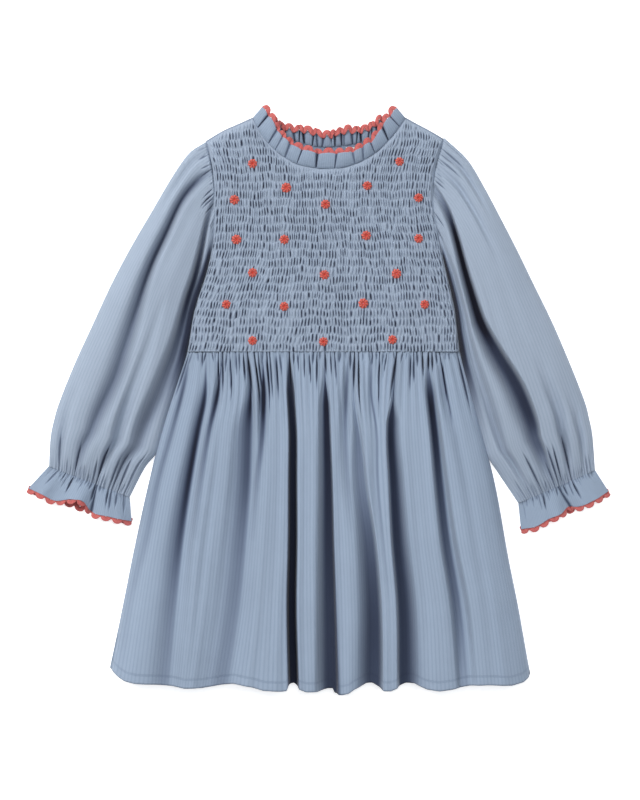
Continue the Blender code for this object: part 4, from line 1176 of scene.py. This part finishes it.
def groove_shares(points):
    """Shares along the front frill's edge for points of the photograph in pixels."""
    line = path_points(FRONT_FRILL_EDGE, 400)
    spots = np.array([(x - 320.0, 400.0 - y) for x, y in points])
    near = np.linalg.norm(line[None] - spots[:, None], axis=2).argmin(axis=1)
    return near / 399.0


def frill(name, base, edge, base_z, rise, grooves, material, columns, rows, bulge, wide, dark):
    """A pleated frill, its free edge and the direction out from it."""
    base_plan = path_points(base, columns)
    reach = path_points(edge, columns) - base_plan
    low = base_z(base_plan)
    share = np.linspace(0, 1, columns)
    outward = unit(reach)
    tuck = FRILL_TUCK / np.linalg.norm(reach, axis=1)[:, None]
    grid = []
    marks = []
    for down in np.linspace(0, 1, rows):
        height = low + rise * down - 0.7 * (down == 0) + bulge * math.sin(math.pi * down)
        groove = np.zeros_like(share)
        panel = np.zeros_like(share)
        last = 0.0
        for k, spot in enumerate((*grooves, 1.0)):
            if spot < 1.0:
                spread = wide * (0.45 + 0.85 * down) * (1 + 0.4 * math.sin(2.7 * k))
                tilt = 1.6 * wide * math.sin(3.3 * k) * (down - 0.5)
                strength = 0.78 + 0.22 * math.sin(5.1 * k + 1)
                groove += strength * bell((share - spot - tilt) / spread)
            inside = (share >= last) & (share < spot)
            part = np.where(inside, (share - last) / max(spot - last, 1e-6), 0)
            panel += np.where(inside, np.sin(math.pi * part) ** 0.7 * (1 if k % 2 else 0.6), 0)
            last = spot
        plan = base_plan + reach * (down - tuck * (1 - down))
        plan = plan + outward * (FRILL_SCALLOP * (panel - 0.4) * down ** 2)[:, None]
        height = height + 1.5 * panel * (0.35 + 0.75 * down) - 2.2 * (1 - 0.35 * down) * groove
        grid.append(np.column_stack([plan, height]))
        # Painted shade in the pleats' grooves, and by dark towards the seam
        marks.append(np.clip(1.05 * groove + dark * (1 - 0.6 * down), 0, 1))
    points = np.array([*grid, grid[-1] - [0.0, 0.0, 0.6]])
    uv = cloth_uv(points, reach_along(points[-2]) * 1.6, zero=-2)
    piece = grid_piece(name, "cloth", points, uv, material, "blue_cotton",
                       deep=np.array([*marks, marks[-1]]))
    return piece, points[-2], (points[-2] - points[-3]) * [1.0, 1.0, 0.0]


# Rosettes and label

def rosette(number, x, y, material):
    rings, spokes = ROSETTE_GRID
    turn0 = 2 * math.pi * RANDOM.uniform()
    grow = RANDOM.uniform(0.85, 1.0)
    radius = np.linspace(0, 1, rings)[:, None]
    turn = np.linspace(0, 2 * math.pi, spokes, endpoint=False)[None]
    petals = np.abs(np.cos(THREAD_PETALS * 0.5 * (turn + turn0 + 0.5 * radius)))
    rim = ROSETTE_RADIUS * grow * (0.90 + 0.13 * petals ** 0.8)
    px = x + radius * rim * np.cos(turn)
    py = y + radius * rim * np.sin(turn)
    swell = np.clip(np.sin(math.pi * radius ** 0.9), 0, 1)
    coil = 0.5 + 0.5 * np.cos(2 * math.pi * (radius * 3.6 + 0.35 * petals))
    tall = 1.7 * swell * (0.45 + 0.55 * petals ** 0.7) - 0.3 * bell(radius / 0.2)
    base = bodice_height(px, py) + SMOCK_HEIGHT + 0.6
    height = base + tall + 0.28 * coil * swell
    height[-1] = base[-1] - 1.7
    # Painted shade between the petals and between the coils
    gap = (1 - petals ** 1.1) * ease(radius, 0.15, 0.55)
    gap = np.clip(gap * 1.1 + 0.55 * (1 - coil) * swell, 0, 0.95)
    middle = 1 - ease(radius / (0.30 + 0.22 * petals), 0.5, 1.2)
    uv = np.stack(np.broadcast_arrays(np.linspace(0, 30, spokes + 1), radius * 5), axis=-1)
    return grid_piece(f"rosette_{number:02d}", "thread", np.stack([px, py, height], axis=-1),
                      uv, material, "coral_thread", closed=True, deep=gap, middle=middle)


def neck_label(material):
    x, y, z = LABEL_LOW
    wide, long, thick = LABEL_SIZE
    a, b = np.meshgrid(np.linspace(0, 1, 24), np.linspace(0, 1, 24))
    height = z + thick + 0.25 * np.sin(math.pi * b) - 0.5 * (np.abs(2 * a - 1) ** 12)
    points = np.stack([x + wide * a, y + long * b, height], axis=-1)
    uv = np.stack([wide * a, long * b], axis=-1)
    return grid_piece("neck_label", "tape", points, uv, material, "white_tape")


# Floor, lights and camera

def floor():
    bpy.ops.mesh.primitive_plane_add(size=8.0, location=(0, 0, -0.0006))
    plane = bpy.context.object
    plane.name = "pale_floor"
    maker = Maker("pale_floor")
    colour = maker.mix(maker.noise(maker.position(), 40.0), *FLOOR_WHITES)
    material = maker.finish(colour, 0.9, 0.0, None, 0.1)
    maker.feed(maker.shader.inputs["Emission Color"], (1, 1, 1))
    maker.feed(maker.shader.inputs["Emission Strength"], FLOOR_GLOW)
    plane.data.materials.append(material)


def area_light(name, place, size, power, colour):
    data = bpy.data.lights.new(name, "AREA")
    data.shape = "SQUARE"
    data.size = size
    data.energy = power
    data.color = colour
    light = bpy.data.objects.new(name, data)
    light.location = place
    light.rotation_euler = (-Vector(place)).to_track_quat("-Z", "Y").to_euler()
    bpy.context.scene.collection.objects.link(light)


def camera():
    data = bpy.data.cameras.new("camera")
    data.sensor_fit = "VERTICAL"
    data.sensor_height = SENSOR
    data.lens = SENSOR * CAMERA_HEIGHT / PX_HIGH
    data.clip_end = 50
    eye = bpy.data.objects.new("camera", data)
    eye.location = (0, 0, CAMERA_HEIGHT * MM)
    bpy.context.scene.collection.objects.link(eye)
    bpy.context.scene.camera = eye


camera()
floor()
for light in LIGHTS:
    area_light(*light)
world = bpy.data.worlds.new("studio")
world.use_nodes = True
world.node_tree.nodes["Background"].inputs[0].default_value = SKY
world.node_tree.nodes["Background"].inputs[1].default_value = SKY_POWER
bpy.context.scene.world = world
bpy.context.scene.view_settings.view_transform = "Standard"

blue = cotton("blue_cotton", LIGHT_BLUE, STRIPE_BLUE)
# The sleeves' cotton: a copy painted lighter, as painted sheen
sleeve_cotton_painted_lighter = cotton("blue_cotton_sleeves_painted_lighter", SLEEVE_BLUE_PAINTED_LIGHTER, SLEEVE_STRIPE_PAINTED_LIGHTER)
hemmed = cotton("blue_cotton_hemmed", LIGHT_BLUE, STRIPE_BLUE, stitch_at=HEM_STITCH)
smocked = cotton("smocked_cotton", SMOCKED_BLUE_PAINTED_LIGHTER, SMOCKED_STRIPE_PAINTED_LIGHTER)
coral = braid_material("coral_braid")
thread = thread_material("coral_thread")
tape = tape_material("white_tape")

LEFT_OF_SPLIT = BACK_SPLIT_X - BACK_SPLIT_GAP / 2
RIGHT_OF_SPLIT = BACK_SPLIT_X + BACK_SPLIT_GAP / 2
pieces = {
    "skirt_front": skirt_front(hemmed),
    "skirt_back": skirt_back(hemmed),
    "bodice_front": bodice_front(smocked),
    "bodice_back_left": bodice_back("bodice_back_left", None, LEFT_OF_SPLIT, blue),
    "bodice_back_right": bodice_back("bodice_back_right", RIGHT_OF_SPLIT - PLACKET, None, blue),
}
braids = {}
for side, table, shape, seed in (("left", SLEEVE_LEFT, CUFF_LEFT, 21),
                                 ("right", SLEEVE_RIGHT, CUFF_RIGHT, 34)):
    pieces[f"sleeve_{side}"] = sleeve(f"sleeve_{side}", table, sleeve_cotton_painted_lighter, seed)
    key = f"cuff_frill_{side}"
    pieces[key], edge, along = cuff(key, table, shape, blue, seed)
    edge[:TUBE_TOP, 2] -= 1.5
    edge[TUBE_TOP:, 2] += 0.9
    out = np.tile([*along, 0.0], (len(edge), 1))
    braids[key] = rickrack(f"rickrack_cuff_{side}", edge, out, coral, 1.15, closed=True)

key = "neck_frill_front"
pieces[key], edge, out = frill(
    key, FRONT_FRILL_BASE, FRONT_FRILL_EDGE,
    lambda plan: bodice_height(plan[:, 0], plan[:, 1] - 1.5) + 0.8, 4.5,
    groove_shares(FRONT_GROOVES), blue, 460, 14, bulge=1.0, wide=0.0056, dark=0.0)
braids[key] = rickrack("rickrack_neck_front", edge - [0.0, 0.0, 1.1], out, coral, 1.3,
                       phase=-0.5 * math.pi)
grooves = np.linspace(0.06, 0.96, 10) + 0.03 * np.sin(np.arange(10) * 2.3)
for side, *ends in (("left", -999.0, LEFT_OF_SPLIT), ("right", LEFT_OF_SPLIT - 0.8, 999.0)):
    key = f"neck_frill_back_{side}"
    pieces[key], edge, out = frill(
        key, half_table(BACK_FRILL_BASE, *ends), half_table(BACK_FRILL_EDGE, *ends),
        lambda plan: 2.2, 0.8, grooves, blue, 220, 12, bulge=0.4, wide=0.02, dark=0.25)
    braids[key] = rickrack(f"rickrack_neck_back_{side}", edge + [0.0, 0.0, 1.9], out, coral,
                           0.9)

carried = {key: [braid] for key, braid in braids.items()}
carried["bodice_back_right"] = [neck_label(tape)]
carried["bodice_front"] = [rosette(number, x, y, thread)
                           for number, (x, y) in enumerate(ROSETTES, start=1)]
